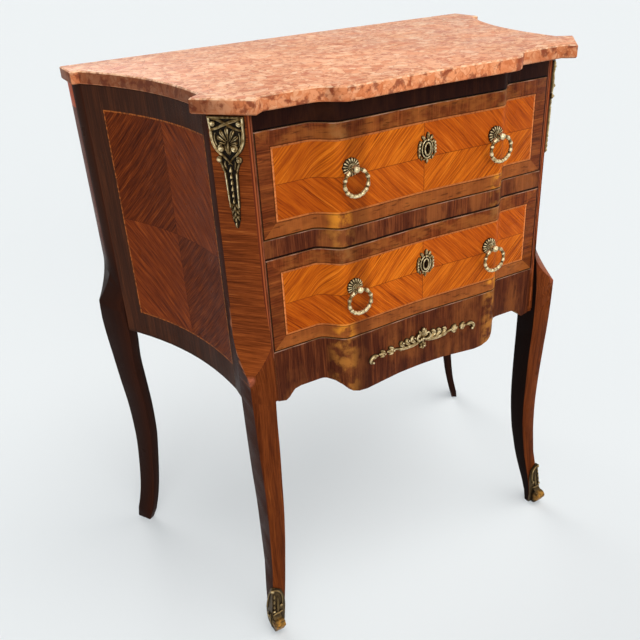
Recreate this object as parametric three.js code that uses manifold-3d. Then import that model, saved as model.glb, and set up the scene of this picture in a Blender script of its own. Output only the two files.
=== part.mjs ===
// A small two-drawer commode on cabriole legs, in millimetres.
// The back of the piece lies towards +Y, the drawers open towards -Y and +Z is up.
// The origin is on the floor, under the middle of the marble top.
// The carcass is wider at the back than at the front: its sides sweep in along a hollow curve.
// The front stands forward in the middle, between two ogee steps, in a shallow serpentine.

import * as THREE from 'three';
import { mergeVertices } from 'three/addons/utils/BufferGeometryUtils.js';
import Module from 'manifold-3d';

const wasm = await Module();
wasm.setup();

// Overall sizes
const totalHeight = 800;
const totalDepth = 403.5;
const marbleThickness = 17;
const marbleBevel = 1.6;
const seat = 0.3;

// Heights of the front, from the top down
const topRailHeight = 26;
const upperDrawerHeight = 129.1;
const middleRailHeight = 25.2;
const lowerDrawerHeight = 127;
const drawerGap = 0.7;

// Plan of the front: straight wings, ogee steps and a hollowed middle
const frontOverhang = 25;
const breakfront = 24;
const frontHollow = 3.5;
const ogeeOuter = 154;
const ogeeInner = 120;
const openingHalf = 219.5;

// Plan of the sides: the half width grows from front to back by the sweep
const postWidth = 38;
const sideSweep = 73.5;
const sideCurvePower = 2.2;
const sideThickness = 16;
const sideOverhang = 7;

// Corner posts
const chamferAcross = 31.5;
const chamferDeep = 35.5;
const frontPostDepth = 52.5;
const backPostDepth = 45;
const backPostWidth = 31;
const backChamfer = 20;
const backOverhang = 6;

// Cabriole legs: the knees lie a little below the lower drawer, as do the lower edges of the sides
const sideDrop = 69.6;
const kneeDrop = 27.1;
const kneeFlare = 50;
const kneeFlarePower = 1.5;
const backKneeDrop = 26.6;
const backKneeFlare = 72;
const backKneeFlarePower = 1.7;
const frontKneeOut = 8.2;
const frontKneeLean = 4.5;
const frontLegWidth = 35;
const frontLegDepth = 30;
const backToeOut = 14;
const backLegWidth = 52.5;
const backLegThickness = 17.5;

// Marble ears over the canted posts
const earWidth = 78;
const earOverhang = 27.7;
const earShift = 7.5;
const backEarDepth = 60;
const backEarOverhang = 5.5;

// Rails, boards and runners inside the carcass
const railDepth = 54;
const apronThickness = 20;
const backPanelThickness = 10;
const backPanelInset = 1;
const backPanelDrop = 10.7;
const backFrameWidth = 46;
const backFieldRecess = 3;
const backRailDepth = 28;
const bottomBoardThickness = 8;
const dustBoardThickness = 6;
const runnerWidth = 23;
const runnerHeight = 14;
const guideWidth = 14;
const guideHeight = 16;
const kickerWidth = 16;
const kickerHeight = 14;

// Front apron: its depth at the lobes, and how far its other low points lie above them
const apronDepth = 88.1;
const bracketRise = 14;
const archRise = 25.5;
const middleRise = 5;

// Drawer boxes
const frontThickness = 22;
const frontClearance = 0.6;
const drawerSideThickness = 10;
const drawerBoxClearance = 1;
const drawerBackThickness = 9;
const drawerBackSpace = 22;
const drawerSideDrop = 8;
const drawerBottomThickness = 5;
const grooveDepth = 4.5;
const grooveHeight = 8;
const drawerBackDrop = 10;
const tailCount = 3;
const tailLength = 12;
const tailTipHeight = 26;
const tailRootHeight = 18;

// Locks and keyholes
const keyDrop = 51.5;
const keyShift = 2.8;
const lockWidth = 58;
const lockHeight = 66;
const lockDepth = 8;
const lockPlate = 2;
const boltWidth = 20;
const boltDepth = 4;
const boltHeight = 24;
const boltTravel = 7;
const boltClearance = 0.4;
const keyRound = 2.4;
const keySlot = 7;
const keySlotWidth = 2.6;

// Ring pulls
const pullOffset = 110;
const pullDrop = 53.8;
const rosetteRadius = 11.5;
const rosetteRim = 1.2;
const rosetteDome = 3.6;
const petalCount = 12;
const petalDepth = 0.8;
const pullStand = 13;
const neckRadius = 2.6;
const ballRadius = 4.9;
const ballBore = 2.4;
const stemRadius = 2.2;
const stemClearance = 0.4;
const nutRadius = 5.5;
const nutThickness = 4;
const stemPast = 2.5;
const ringRadius = 16.4;
const ringTube = 2.5;
const ringNeck = 1.7;
const ringBeads = 14;
const ringBeadShare = 0.35;
const ringRise = 0.35;

// Bronze mounts
const mountThickness = 2.6;
const mountGround = 0.8;
const leafCrownShare = 0.45;
const chuteDrop = 7;
const chuteHeight = 132;
const chuteWidth = 44;
const chuteTopHeight = 12;
const chuteRelief = 5;
const ovalHeight = 33;
const ovalWidth = 40;
const frameBar = 3.6;
const neckHalf = 10.5;
const tipHalf = 5.4;
const chuteFrameEnd = 102;
const huskCount = 6;
const escutcheonWidth = 29;
const escutcheonHeight = 39;
const keyholeRise = 21;
const apronMountHalf = 90;
const apronMountShare = 0.45;
const apronMountSag = 5;
const sabotHeight = 82;
const sabotWall = 2.4;
const sabotRaise = 0.6;
const toeRadius = 7.6;
const toeWidth = 13;
const toeHeight = 20;
const toeTop = 38;
const toeReach = 10;

// Facets and tolerances
const overrun = 5;
const weldTolerance = 1e-3;
const ogeeSteps = 8;
const middleSteps = 8;
const sideSteps = 12;
const legSteps = 26;
const flareSteps = 10;

// Frame of the plan, worked out from the sizes above
const backEdge = totalDepth / 2;
const carcassBack = backEdge - backOverhang;
const wingFace = frontOverhang + breakfront - totalDepth / 2;
const carcassTop = totalHeight - marbleThickness - seat;
const topRailBottom = carcassTop - topRailHeight;
const upperDrawerTop = topRailBottom - drawerGap;
const upperDrawerBottom = upperDrawerTop - upperDrawerHeight;
const middleRailTop = upperDrawerBottom - drawerGap;
const middleRailBottom = middleRailTop - middleRailHeight;
const lowerDrawerTop = middleRailBottom - drawerGap;
const lowerDrawerBottom = lowerDrawerTop - lowerDrawerHeight;
const apronTop = lowerDrawerBottom - drawerGap;
const apronLobe = apronTop - apronDepth;
const bracketBottom = apronLobe + bracketRise;
const sideBottom = apronTop - sideDrop;
const kneeHeight = apronTop - kneeDrop;
const backKneeHeight = apronTop - backKneeDrop;
const lowerRunnerTop = lowerDrawerBottom - seat;
const upperRunnerTop = upperDrawerBottom - seat;
const bottomBoardTop = lowerRunnerTop - runnerHeight - seat;
const backPanelBottom = bottomBoardTop - bottomBoardThickness - backPanelDrop;
const postOuter = openingHalf + postWidth;
const sideStart = wingFace + chamferDeep;
const sideEnd = carcassBack - backPostDepth;
const frontPostBack = wingFace + frontPostDepth;
const sideEndSlope = sideSweep * sideCurvePower / (sideEnd - sideStart);
const backPostInner = postOuter + sideSweep - backPostWidth;
const backCorner = postOuter + sideSweep + sideEndSlope * backPostDepth;
const backStrip = backCorner - backChamfer;
const railBack = wingFace + railDepth;
const drawerHalf = openingHalf - frontClearance;
const sideInner = drawerHalf - drawerSideThickness;
const frontInside = wingFace + frontThickness;
const backPanelFront = carcassBack - backPanelInset - backPanelThickness;
const drawerBack = backPanelFront - drawerBackSpace;
const chamferLength = Math.hypot(chamferAcross, chamferDeep);
const chamferInset = chamferAcross * chamferDeep / chamferLength;
const outward = new THREE.Vector2(chamferDeep, -chamferAcross).divideScalar(chamferLength);
const alongFace = new THREE.Vector2(outward.y, -outward.x);
const up = new THREE.Vector3(0, 0, 1);

// Finishes
const finish = {
  marble: { color: 0xc98a70, roughness: 0.32, metalness: 0 },
  stile: { color: 0x6e3018, roughness: 0.38, metalness: 0 },
  sideVeneer: { color: 0x7a3b1c, roughness: 0.38, metalness: 0 },
  frontVeneer: { color: 0xa9541c, roughness: 0.34, metalness: 0 },
  darkRail: { color: 0x3a1c12, roughness: 0.4, metalness: 0 },
  oak: { color: 0x9c7a4e, roughness: 0.75, metalness: 0 },
  bronze: { color: 0xa98c4f, roughness: 0.36, metalness: 1 },
  steel: { color: 0x6f6a62, roughness: 0.5, metalness: 1 },
};

const commode = new THREE.Group();

function add(name, look, geometry) {
  geometry.computeVertexNormals();
  const mesh = new THREE.Mesh(geometry, new THREE.MeshStandardMaterial(finish[look]));
  mesh.name = name;
  commode.add(mesh);
}

// Turns a closed geometry into a solid for cutting and joining
function solidOf(geometry) {
  const bare = geometry.clone();
  bare.deleteAttribute('normal');
  bare.deleteAttribute('uv');
  const welded = mergeVertices(bare, weldTolerance);
  return new wasm.Manifold(new wasm.Mesh({
    numProp: 3,
    vertProperties: new Float32Array(welded.attributes.position.array),
    triVerts: new Uint32Array(welded.index.array),
  }));
}

function geometryOf(solid) {
  const mesh = solid.getMesh();
  const geometry = new THREE.BufferGeometry();
  geometry.setAttribute('position', new THREE.BufferAttribute(new Float32Array(mesh.vertProperties), 3));
  geometry.setIndex(new THREE.BufferAttribute(new Uint32Array(mesh.triVerts), 1));
  return geometry;
}

function join(solids) {
  return solids.reduce((sum, solid) => sum.add(solid));
}

// Mirrors a geometry across the plane x = 0 and keeps its faces pointing out
function mirrored(geometry) {
  const copy = geometry.clone().scale(-1, 1, 1);
  const index = copy.index.array;
  for (let i = 0; i < index.length; i += 3) {
    [index[i], index[i + 1]] = [index[i + 1], index[i]];
  }
  return copy;
}

// Adds a piece of the right-hand side and its mirror image
function addPair(name, look, solid) {
  const geometry = geometryOf(solid);
  add(`${name}_right`, look, geometry);
  add(`${name}_left`, look, mirrored(geometry));
}

function box(x0, x1, y0, y1, z0, z1) {
  const geometry = new THREE.BoxGeometry(x1 - x0, y1 - y0, z1 - z0);
  geometry.translate((x0 + x1) / 2, (y0 + y1) / 2, (z0 + z1) / 2);
  return solidOf(geometry);
}

function shapeOf(points) {
  return new THREE.Shape(points.map(([x, y]) => new THREE.Vector2(x, y)));
}

// A slab of a plan outline between two heights
function slab(points, z0, z1) {
  const geometry = new THREE.ExtrudeGeometry(shapeOf(points), { depth: z1 - z0, bevelEnabled: false });
  geometry.translate(0, 0, z0);
  return solidOf(geometry);
}

// A plate drawn in its own flat frame: x across, y up and z out of the face
function plate(shape, thickness, bevel, curveSegments) {
  return new THREE.ExtrudeGeometry(shape, {
    depth: thickness - bevel,
    bevelThickness: bevel,
    bevelSize: bevel,
    bevelOffset: -bevel,
    bevelSegments: 1,
    curveSegments,
  }).translate(0, 0, bevel);
}

// A solid with one ring of corners at each station, from the first to the last
function loft(rings) {
  const count = rings[0].length;
  const positions = rings.flat().flatMap((corner) => [corner.x, corner.y, corner.z]);
  const faces = [];
  for (let i = 0; i + 1 < rings.length; i += 1) {
    for (let k = 0; k < count; k += 1) {
      const a = i * count + k;
      const b = i * count + (k + 1) % count;
      faces.push(a, b, b + count, a, b + count, a + count);
    }
  }
  const last = (rings.length - 1) * count;
  for (let k = 1; k + 1 < count; k += 1) {
    faces.push(0, k + 1, k);
    faces.push(last, last + k, last + k + 1);
  }
  const geometry = new THREE.BufferGeometry();
  geometry.setAttribute('position', new THREE.Float32BufferAttribute(positions, 3));
  geometry.setIndex(faces);
  return solidOf(geometry);
}

// Reads one column of a table of stations along a smooth curve through them
function smoothColumn(stations, column, at) {
  const last = stations.length - 1;
  if (at <= stations[0][0]) return stations[0][column];
  if (at >= stations[last][0]) return stations[last][column];
  let i = 0;
  while (stations[i + 1][0] < at) i += 1;
  const slope = (k) => {
    const low = stations[Math.max(k - 1, 0)];
    const high = stations[Math.min(k + 1, last)];
    return (high[column] - low[column]) / (high[0] - low[0]);
  };
  const span = stations[i + 1][0] - stations[i][0];
  const t = (at - stations[i][0]) / span;
  const start = (1 + 2 * t) * (1 - t) ** 2 * stations[i][column];
  const end = t * t * (3 - 2 * t) * stations[i + 1][column];
  const startSlope = t * (1 - t) ** 2 * span * slope(i);
  const endSlope = t * t * (t - 1) * span * slope(i + 1);
  return start + end + startSlope + endSlope;
}

function smoothStep(value) {
  const t = Math.min(Math.max(value, 0), 1);
  return t * t * (3 - 2 * t);
}

// How far the front stands forward of its wings at a place across
function swell(x) {
  const across = Math.abs(x);
  if (across >= ogeeOuter) return 0;
  if (across >= ogeeInner) {
    return breakfront * (1 - Math.cos(Math.PI * (ogeeOuter - across) / (ogeeOuter - ogeeInner))) / 2;
  }
  return breakfront - frontHollow * (1 + Math.cos(Math.PI * across / ogeeInner)) / 2;
}

function steps(from, to, count) {
  return Array.from({ length: count }, (_, i) => from + (to - from) * i / count);
}

// Places across the front from one end to the other
function acrossFront(half) {
  const right = [
    ...steps(0, ogeeInner, middleSteps),
    ...steps(ogeeInner, ogeeOuter, ogeeSteps),
    ogeeOuter,
    half,
  ];
  return [...right.slice(1).reverse().map((x) => -x), ...right];
}

// Outline in plan of a piece with the shaped front, a straight back or a parallel one
function frontOutline(half, back) {
  const face = acrossFront(half).map((x) => [x, wingFace - swell(x)]);
  return [...face, ...back.slice().reverse()];
}

function parallelBack(half, thickness) {
  return acrossFront(half).map((x) => [x, wingFace - swell(x) + thickness]);
}

function straightBack(half, y) {
  return [[-half, y], [half, y]];
}

// Half width of the sides at a place from front to back
function sideFace(y) {
  const share = Math.max((y - sideStart) / (sideEnd - sideStart), 0);
  return postOuter + sideSweep * share ** sideCurvePower;
}

function alongSide(from, to) {
  return [...steps(from, to, sideSteps), to];
}

// The marble top

function marbleOutline() {
  const marbleWing = wingFace - frontOverhang;
  const corner = new THREE.Vector2(postOuter, wingFace);
  const inset = earOverhang - chamferInset;
  const middle = corner.clone().addScaledVector(outward, inset).addScaledVector(alongFace, earShift);
  const rear = middle.clone().addScaledVector(alongFace, -earWidth / 2);
  const fore = middle.clone().addScaledVector(alongFace, earWidth / 2);
  const rearDepth = (rear.x - postOuter - sideOverhang) / outward.x;
  const foreDepth = (marbleWing - fore.y) / -outward.y;
  const rearRoot = rear.clone().addScaledVector(outward, -rearDepth);
  const foreRoot = fore.clone().addScaledVector(outward, -foreDepth);
  const earFront = backEdge - backEarDepth;
  const half = [
    ...steps(0, ogeeInner, middleSteps).map((x) => [x, marbleWing - swell(x)]),
    ...steps(ogeeInner, ogeeOuter, ogeeSteps).map((x) => [x, marbleWing - swell(x)]),
    [ogeeOuter, marbleWing],
    [foreRoot.x, foreRoot.y],
    [fore.x, fore.y],
    [rear.x, rear.y],
    [rearRoot.x, rearRoot.y],
    ...alongSide(sideStart, earFront).slice(1).map((y) => [sideFace(y) + sideOverhang, y]),
    [backStrip + backEarOverhang, earFront],
    [backStrip + backEarOverhang, backEdge],
  ];
  const other = half.slice(1).reverse().map(([x, y]) => [-x, y]);
  return [...half, ...other];
}

function marbleTop() {
  const geometry = new THREE.ExtrudeGeometry(shapeOf(marbleOutline()), {
    depth: marbleThickness - 2 * marbleBevel,
    bevelThickness: marbleBevel,
    bevelSize: marbleBevel,
    bevelOffset: -marbleBevel,
    bevelSegments: 1,
  });
  geometry.translate(0, 0, totalHeight - marbleThickness + marbleBevel);
  return geometryOf(solidOf(geometry));
}

add('marble_top', 'marble', marbleTop());

// Front posts and legs
// Height, outward sweep, lean towards the middle of the front, width of the front face,
// depth of the inner side face and of the outer one, as shares of the knee's height, its sweep,
// its lean, the leg's width, its depth and the inner depth

const frontLegShares = [
  [0.00, 1.75, 0.30, 0.440, 0.24, 1.20],
  [0.02, 2.05, 0.40, 0.520, 0.32, 1.36],
  [0.05, 2.15, 0.60, 0.550, 0.40, 1.42],
  [0.10, 1.95, 0.85, 0.570, 0.56, 1.20],
  [0.18, 1.30, 1.00, 0.600, 0.77, 1.09],
  [0.23, 0.72, 1.00, 0.600, 0.81, 1.09],
  [0.29, 0.39, 0.95, 0.640, 0.87, 1.12],
  [0.36, 0.08, 0.88, 0.690, 0.94, 1.15],
  [0.48, -0.11, 0.95, 0.745, 1.02, 1.19],
  [0.60, 0.07, 1.08, 0.785, 1.10, 1.24],
  [0.72, 0.42, 1.02, 0.870, 1.12, 1.17],
  [0.84, 0.80, 1.10, 0.910, 1.20, 1.06],
  [1.00, 1.00, 1.00, 1.000, 1.20, 1.00],
  [1.07, 0.72, 0.75, 1.000, 1.00, 1.00],
  [1.14, 0.28, 0.35, 1.000, 1.00, 1.00],
  [1.22, 0.03, 0.05, 1.000, 1.00, 1.00],
  [1.28, 0.00, 0.00, 1.000, 1.00, 1.00],
];

// Corners of the front leg at a height, starting at the inner front corner
function frontLegRing(height, grow) {
  const share = height / kneeHeight;
  const sweep = frontKneeOut * smoothColumn(frontLegShares, 1, share);
  const lean = frontKneeLean * smoothColumn(frontLegShares, 2, share);
  const corner = new THREE.Vector2(postOuter, wingFace).addScaledVector(outward, sweep);
  corner.addScaledVector(alongFace, lean);
  const inner = corner.x - frontLegWidth * smoothColumn(frontLegShares, 3, share);
  const innerDepth = frontLegDepth * smoothColumn(frontLegShares, 4, share);
  const outerDepth = innerDepth * smoothColumn(frontLegShares, 5, share);
  return [
    new THREE.Vector3(inner - grow, corner.y - grow, height),
    new THREE.Vector3(corner.x + grow, corner.y - grow, height),
    new THREE.Vector3(corner.x + grow, corner.y + outerDepth + grow, height),
    new THREE.Vector3(inner - grow, corner.y + innerDepth + grow, height),
  ];
}

function legHeights(top, settle) {
  return [...steps(0, settle, legSteps), settle, top];
}

function frontLeg(grow) {
  const settle = kneeHeight * frontLegShares.at(-1)[0];
  return loft(legHeights(carcassTop, settle).map((height) => frontLegRing(height, grow)));
}

// The canted face of the post runs out over the knee in a hollow flare
function flareProfile(inset, reach, knee, flare, power) {
  const profile = [];
  for (let i = 0; i <= flareSteps; i += 1) {
    const t = i / flareSteps;
    profile.push([(inset + reach) * t ** power - inset, knee + flare * (1 - t)]);
  }
  return [
    [-inset, carcassTop + overrun],
    ...profile,
    [chamferLength, knee],
    [chamferLength, carcassTop + overrun],
  ];
}

// Corners of the square post at a height: its outer corner sweeps out with the knee
function frontPostRing(height) {
  const corner = frontLegRing(height, 0)[1];
  return [
    new THREE.Vector3(openingHalf, wingFace, height),
    corner,
    new THREE.Vector3(corner.x, corner.y + chamferDeep, height),
    new THREE.Vector3(sideFace(frontPostBack), frontPostBack, height),
    new THREE.Vector3(openingHalf, frontPostBack, height),
  ];
}

function frontPost() {
  const settle = kneeHeight * frontLegShares.at(-1)[0];
  const heights = [...steps(sideBottom, settle, legSteps / 2), settle, carcassTop];
  const block = loft(heights.map(frontPostRing));
  const profile = flareProfile(chamferInset, frontKneeOut, kneeHeight, kneeFlare, kneeFlarePower);
  const cutter = new THREE.ExtrudeGeometry(shapeOf(profile), {
    depth: 2 * chamferLength,
    bevelEnabled: false,
  });
  cutter.translate(0, 0, -chamferLength);
  const place = new THREE.Matrix4().makeBasis(
    new THREE.Vector3(outward.x, outward.y, 0),
    up,
    new THREE.Vector3(alongFace.x, alongFace.y, 0),
  ).setPosition(postOuter, wingFace, 0);
  const strip = box(
    openingHalf,
    openingHalf + frontLegWidth / 2,
    wingFace,
    wingFace + apronThickness,
    bracketBottom,
    sideBottom + overrun,
  );
  return join([frontLeg(0), block, strip]).subtract(solidOf(cutter.applyMatrix4(place)));
}

addPair('leg_front', 'stile', frontPost());

// Back posts and legs
// Height, sideways sweep, width of the side face and thickness,
// as shares of the knee's height, the toe's sweep, the leg's width and its thickness

const backLegShares = [
  [0.00, 0.92, 0.52, 0.62],
  [0.02, 0.90, 0.60, 0.74],
  [0.075, 0.38, 0.61, 0.76],
  [0.15, -0.14, 0.61, 0.80],
  [0.24, -0.51, 0.62, 0.85],
  [0.34, -0.79, 0.63, 0.95],
  [0.41, -0.87, 0.67, 1.00],
  [0.54, -0.77, 0.72, 1.04],
  [0.66, -0.44, 0.79, 1.04],
  [0.77, -0.18, 0.85, 1.00],
  [0.87, 0.06, 1.00, 1.00],
  [0.94, 0.14, 1.00, 1.00],
  [1.00, 0.05, 1.00, 1.00],
  [1.05, 0.00, 1.00, 1.00],
];

const sideTangent = new THREE.Vector2(sideEndSlope, 1).normalize();
const sideNormal = new THREE.Vector2(-sideTangent.y, sideTangent.x);

function backLegRing(height) {
  const share = height / backKneeHeight;
  const sweep = backToeOut * smoothColumn(backLegShares, 1, share);
  const width = backLegWidth * smoothColumn(backLegShares, 2, share);
  const thickness = backLegThickness * smoothColumn(backLegShares, 3, share);
  const outerBack = new THREE.Vector2(backCorner + sweep, carcassBack);
  const outerFront = outerBack.clone().addScaledVector(sideTangent, -width);
  const innerFront = outerFront.clone().addScaledVector(sideNormal, thickness);
  const run = (carcassBack - innerFront.y) / sideTangent.y;
  const innerBack = innerFront.clone().addScaledVector(sideTangent, run);
  return [innerFront, outerFront, outerBack, innerBack].map((p) => new THREE.Vector3(p.x, p.y, height));
}

function backPost() {
  const settle = backKneeHeight * backLegShares.at(-1)[0];
  const leg = loft(legHeights(carcassTop, settle).map(backLegRing));
  const block = slab([
    [backPostInner, sideEnd],
    [postOuter + sideSweep, sideEnd],
    [backCorner, carcassBack],
    [backPostInner, carcassBack],
  ], sideBottom, carcassTop);
  const reach = backToeOut * smoothColumn(backLegShares, 1, 1);
  const profile = flareProfile(backChamfer, reach, backKneeHeight, backKneeFlare, backKneeFlarePower);
  const cutter = new THREE.ExtrudeGeometry(shapeOf(profile), {
    depth: 2 * backPostDepth,
    bevelEnabled: false,
  });
  const place = new THREE.Matrix4().makeBasis(
    new THREE.Vector3(1, 0, 0),
    up,
    new THREE.Vector3(0, -1, 0),
  ).setPosition(backCorner, carcassBack + overrun, 0);
  return leg.add(block).subtract(solidOf(cutter.applyMatrix4(place)));
}

addPair('leg_back', 'stile', backPost());

// Side panels

function sidePanel() {
  const places = alongSide(frontPostBack + seat, sideEnd - seat);
  const outer = places.map((y) => [sideFace(y), y]);
  const inner = places.map((y) => [sideFace(y) - sideThickness, y]).reverse();
  return slab([...outer, ...inner], sideBottom, carcassTop);
}

addPair('side_panel', 'sideVeneer', sidePanel());

// Back: a frame with a sunk field, between the back posts

function backPanel() {
  const half = backPostInner - seat;
  const fieldHalf = half - backFrameWidth;
  const back = carcassBack - backPanelInset;
  const panel = box(-half, half, backPanelFront, back, backPanelBottom, carcassTop);
  const field = box(
    -fieldHalf,
    fieldHalf,
    back - backFieldRecess,
    back + overrun,
    backPanelBottom + backFrameWidth,
    carcassTop - backFrameWidth,
  );
  return geometryOf(panel.subtract(field));
}

add('back_panel', 'oak', backPanel());

function backTopRail() {
  const half = backPostInner - seat;
  const back = backPanelFront - seat;
  return geometryOf(box(-half, half, back - backRailDepth, back, topRailBottom, carcassTop));
}

add('top_rail_back', 'oak', backTopRail());

// Front rails with the mortises that the lock bolts shoot into

const middleFace = wingFace - swell(0);
const lockBack = middleFace + frontThickness;
const lockFront = lockBack - lockDepth;
const boltFront = (lockFront + lockBack - boltDepth) / 2;

function boltSpace(z0, z1) {
  const half = boltWidth / 2 + boltClearance;
  return box(-half, half, boltFront - boltClearance, boltFront + boltDepth + boltClearance, z0, z1);
}

function frontRail(bottom, top) {
  const half = openingHalf - seat;
  const rail = slab(frontOutline(half, straightBack(half, railBack)), bottom, top);
  return geometryOf(rail.subtract(boltSpace(bottom - overrun, bottom + drawerGap + boltTravel)));
}

add('top_rail_front', 'darkRail', frontRail(topRailBottom, carcassTop));
add('middle_rail', 'darkRail', frontRail(middleRailBottom, middleRailTop));

// Front apron: brackets by the legs, arches, and a lower middle between rounded lobes

const apronShares = [
  [0.00, 0.20],
  [0.18, 0.18],
  [0.34, 0.07],
  [0.43, 0.00],
  [0.49, 0.05],
  [0.535, 0.20],
  [0.565, 0.41],
  [0.595, 0.68],
  [0.625, 0.88],
  [0.665, 1.00],
  [0.84, 1.00],
  [0.88, 0.92],
  [0.905, 0.70],
  [0.92, 0.54],
  [0.945, 0.40],
];

function apronOutline() {
  const half = apronShares.map(([across, height], i) => {
    const lift = i < 3 ? middleRise * height / apronShares[0][1] : archRise * height;
    return [across * openingHalf, apronLobe + lift];
  });
  const end = [openingHalf + overrun, bracketBottom];
  const right = [...half, end, [end[0], apronTop + overrun]];
  const left = right.slice(1).reverse().map(([x, z]) => [-x, z]);
  return [...right, ...left];
}

function frontApron() {
  const half = openingHalf - seat;
  const wall = slab(frontOutline(half, parallelBack(half, apronThickness)), apronLobe - overrun, apronTop);
  const elevation = new THREE.ExtrudeGeometry(shapeOf(apronOutline()), {
    depth: totalDepth,
    bevelEnabled: false,
  });
  elevation.rotateX(Math.PI / 2);
  return geometryOf(wall.intersect(solidOf(elevation)));
}

add('front_apron', 'darkRail', frontApron());

// Boards and runners that carry the drawers

const runnerInner = openingHalf - runnerWidth;

function bottomBoard() {
  const half = openingHalf - seat;
  const front = acrossFront(half).filter((x) => x >= 0);
  const places = alongSide(frontPostBack + seat, sideEnd - seat);
  const right = [
    ...front.map((x) => [x, wingFace - swell(x) + apronThickness + seat]),
    [half, frontPostBack + seat],
    ...places.map((y) => [sideFace(y) - sideThickness - seat, y]),
    [backPostInner - seat, sideEnd - seat],
    [backPostInner - seat, backPanelFront - seat],
  ];
  const left = right.slice(1).reverse().map(([x, y]) => [-x, y]);
  return geometryOf(slab([...right, ...left], bottomBoardTop - bottomBoardThickness, bottomBoardTop));
}

add('bottom_board', 'oak', bottomBoard());

function dustBoard() {
  const half = runnerInner - seat;
  const bottom = upperRunnerTop - runnerHeight;
  const back = backPanelFront - seat;
  return geometryOf(box(-half, half, railBack + seat, back, bottom, bottom + dustBoardThickness));
}

add('dust_board', 'oak', dustBoard());

// A runner is a rail under the drawer's side with a guide standing beside it, behind the post
function runner(top, front) {
  const back = backPanelFront - seat;
  const guideFront = Math.max(front, frontPostBack + seat);
  const guideInner = drawerHalf + drawerBoxClearance;
  const outer = guideInner + guideWidth;
  const rail = box(runnerInner, openingHalf - seat, front, back, top - runnerHeight, top);
  const foot = box(runnerInner, outer, guideFront, back, top - runnerHeight, top);
  const guide = box(guideInner, outer, guideFront, back, top - runnerHeight, top + guideHeight);
  return join([rail, foot, guide]);
}

addPair('runner_upper', 'oak', runner(upperRunnerTop, railBack + seat));
addPair('runner_lower', 'oak', runner(lowerRunnerTop, wingFace + apronThickness + seat));

function kicker() {
  const bottom = upperDrawerTop - drawerSideDrop + drawerBoxClearance;
  const back = backPanelFront - seat - backRailDepth - seat;
  const outer = openingHalf - seat;
  return box(outer - kickerWidth, outer, railBack + seat, back, bottom, bottom + kickerHeight);
}

addPair('kicker', 'oak', kicker());

// Drawers

// A cylinder that lies along Y
function rod(x, z, radius, y0, y1, sides) {
  const geometry = new THREE.CylinderGeometry(radius, radius, y1 - y0, sides);
  geometry.translate(0, (y0 + y1) / 2, 0).translate(x, 0, z);
  return solidOf(geometry);
}

// A keyhole is a round hole with a slot below it
function keyhole(z, y0, y1, grow) {
  const round = rod(keyShift, z, keyRound + grow, y0, y1, 12);
  const half = keySlotWidth / 2 + grow;
  return round.add(box(keyShift - half, keyShift + half, y0, y1, z - keySlot - grow, z));
}

// Tails of the dovetails that join a drawer side to the drawer front
function tails(bottom, height, grow) {
  const pitch = height / tailCount;
  const front = frontInside - tailLength;
  const solids = [];
  for (let i = 0; i < tailCount; i += 1) {
    const middle = bottom + pitch * (i + 1 / 2);
    const tip = tailTipHeight / 2 + grow;
    const root = tailRootHeight / 2 + grow;
    const outline = [
      [front - grow, middle - tip],
      [frontInside + overrun, middle - root],
      [frontInside + overrun, middle + root],
      [front - grow, middle + tip],
    ];
    const geometry = new THREE.ExtrudeGeometry(shapeOf(outline), {
      depth: drawerSideThickness + (grow > 0 ? overrun + grow : 0),
      bevelEnabled: false,
    });
    const place = new THREE.Matrix4().makeBasis(
      new THREE.Vector3(0, 1, 0),
      up,
      new THREE.Vector3(1, 0, 0),
    ).setPosition(sideInner - grow, 0, 0);
    solids.push(solidOf(geometry.applyMatrix4(place)));
  }
  return join(solids);
}

function mirroredSolid(solid) {
  return solidOf(mirrored(geometryOf(solid)));
}

function drawerFront(bottom, top) {
  const half = drawerHalf;
  const keyHeight = top - keyDrop;
  const pullHeight = top - pullDrop;
  const sockets = tails(bottom, top - bottom - drawerSideDrop, seat);
  let front = slab(frontOutline(half, parallelBack(half, frontThickness)), bottom, top);
  front = front.subtract(keyhole(keyHeight, middleFace - overrun, lockBack + overrun, 0));
  const lockHalf = lockWidth / 2 + seat;
  front = front.subtract(box(
    -lockHalf,
    lockHalf,
    lockFront - seat,
    lockBack + overrun,
    top - lockHeight - seat,
    top + overrun,
  ));
  for (const side of [-1, 1]) {
    const bore = rod(
      side * pullOffset,
      pullHeight,
      stemRadius + stemClearance,
      wingFace - breakfront - overrun,
      wingFace + frontThickness,
      12,
    );
    front = front.subtract(bore);
  }
  return geometryOf(front.subtract(sockets).subtract(mirroredSolid(sockets)));
}

function drawerSide(bottom, top) {
  const height = top - bottom - drawerSideDrop;
  const grooveBottom = bottom + grooveHeight - seat;
  const outline = [
    [sideInner, bottom],
    [drawerHalf, bottom],
    [drawerHalf, bottom + height],
    [sideInner, bottom + height],
    [sideInner, grooveBottom + drawerBottomThickness + 2 * seat],
    [sideInner + grooveDepth, grooveBottom + drawerBottomThickness + 2 * seat],
    [sideInner + grooveDepth, grooveBottom],
    [sideInner, grooveBottom],
  ];
  const start = frontInside + seat;
  const geometry = new THREE.ExtrudeGeometry(shapeOf(outline), {
    depth: drawerBack - start,
    bevelEnabled: false,
  });
  geometry.rotateX(Math.PI / 2).translate(0, drawerBack, 0);
  return solidOf(geometry).add(tails(bottom, height, 0));
}

function drawerBottom(bottom) {
  const half = sideInner + grooveDepth - seat;
  const low = bottom + grooveHeight;
  const front = acrossFront(sideInner - seat).map((x) => [x, wingFace - swell(x) + frontThickness + seat]);
  const back = drawerBack - drawerBackThickness - seat;
  const wide = frontInside + tailLength;
  const narrow = sideInner - seat;
  const outline = [
    ...front,
    [narrow, wide],
    [half, wide],
    [half, back],
    [-half, back],
    [-half, wide],
    [-narrow, wide],
  ];
  return geometryOf(slab(outline, low, low + drawerBottomThickness));
}

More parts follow.
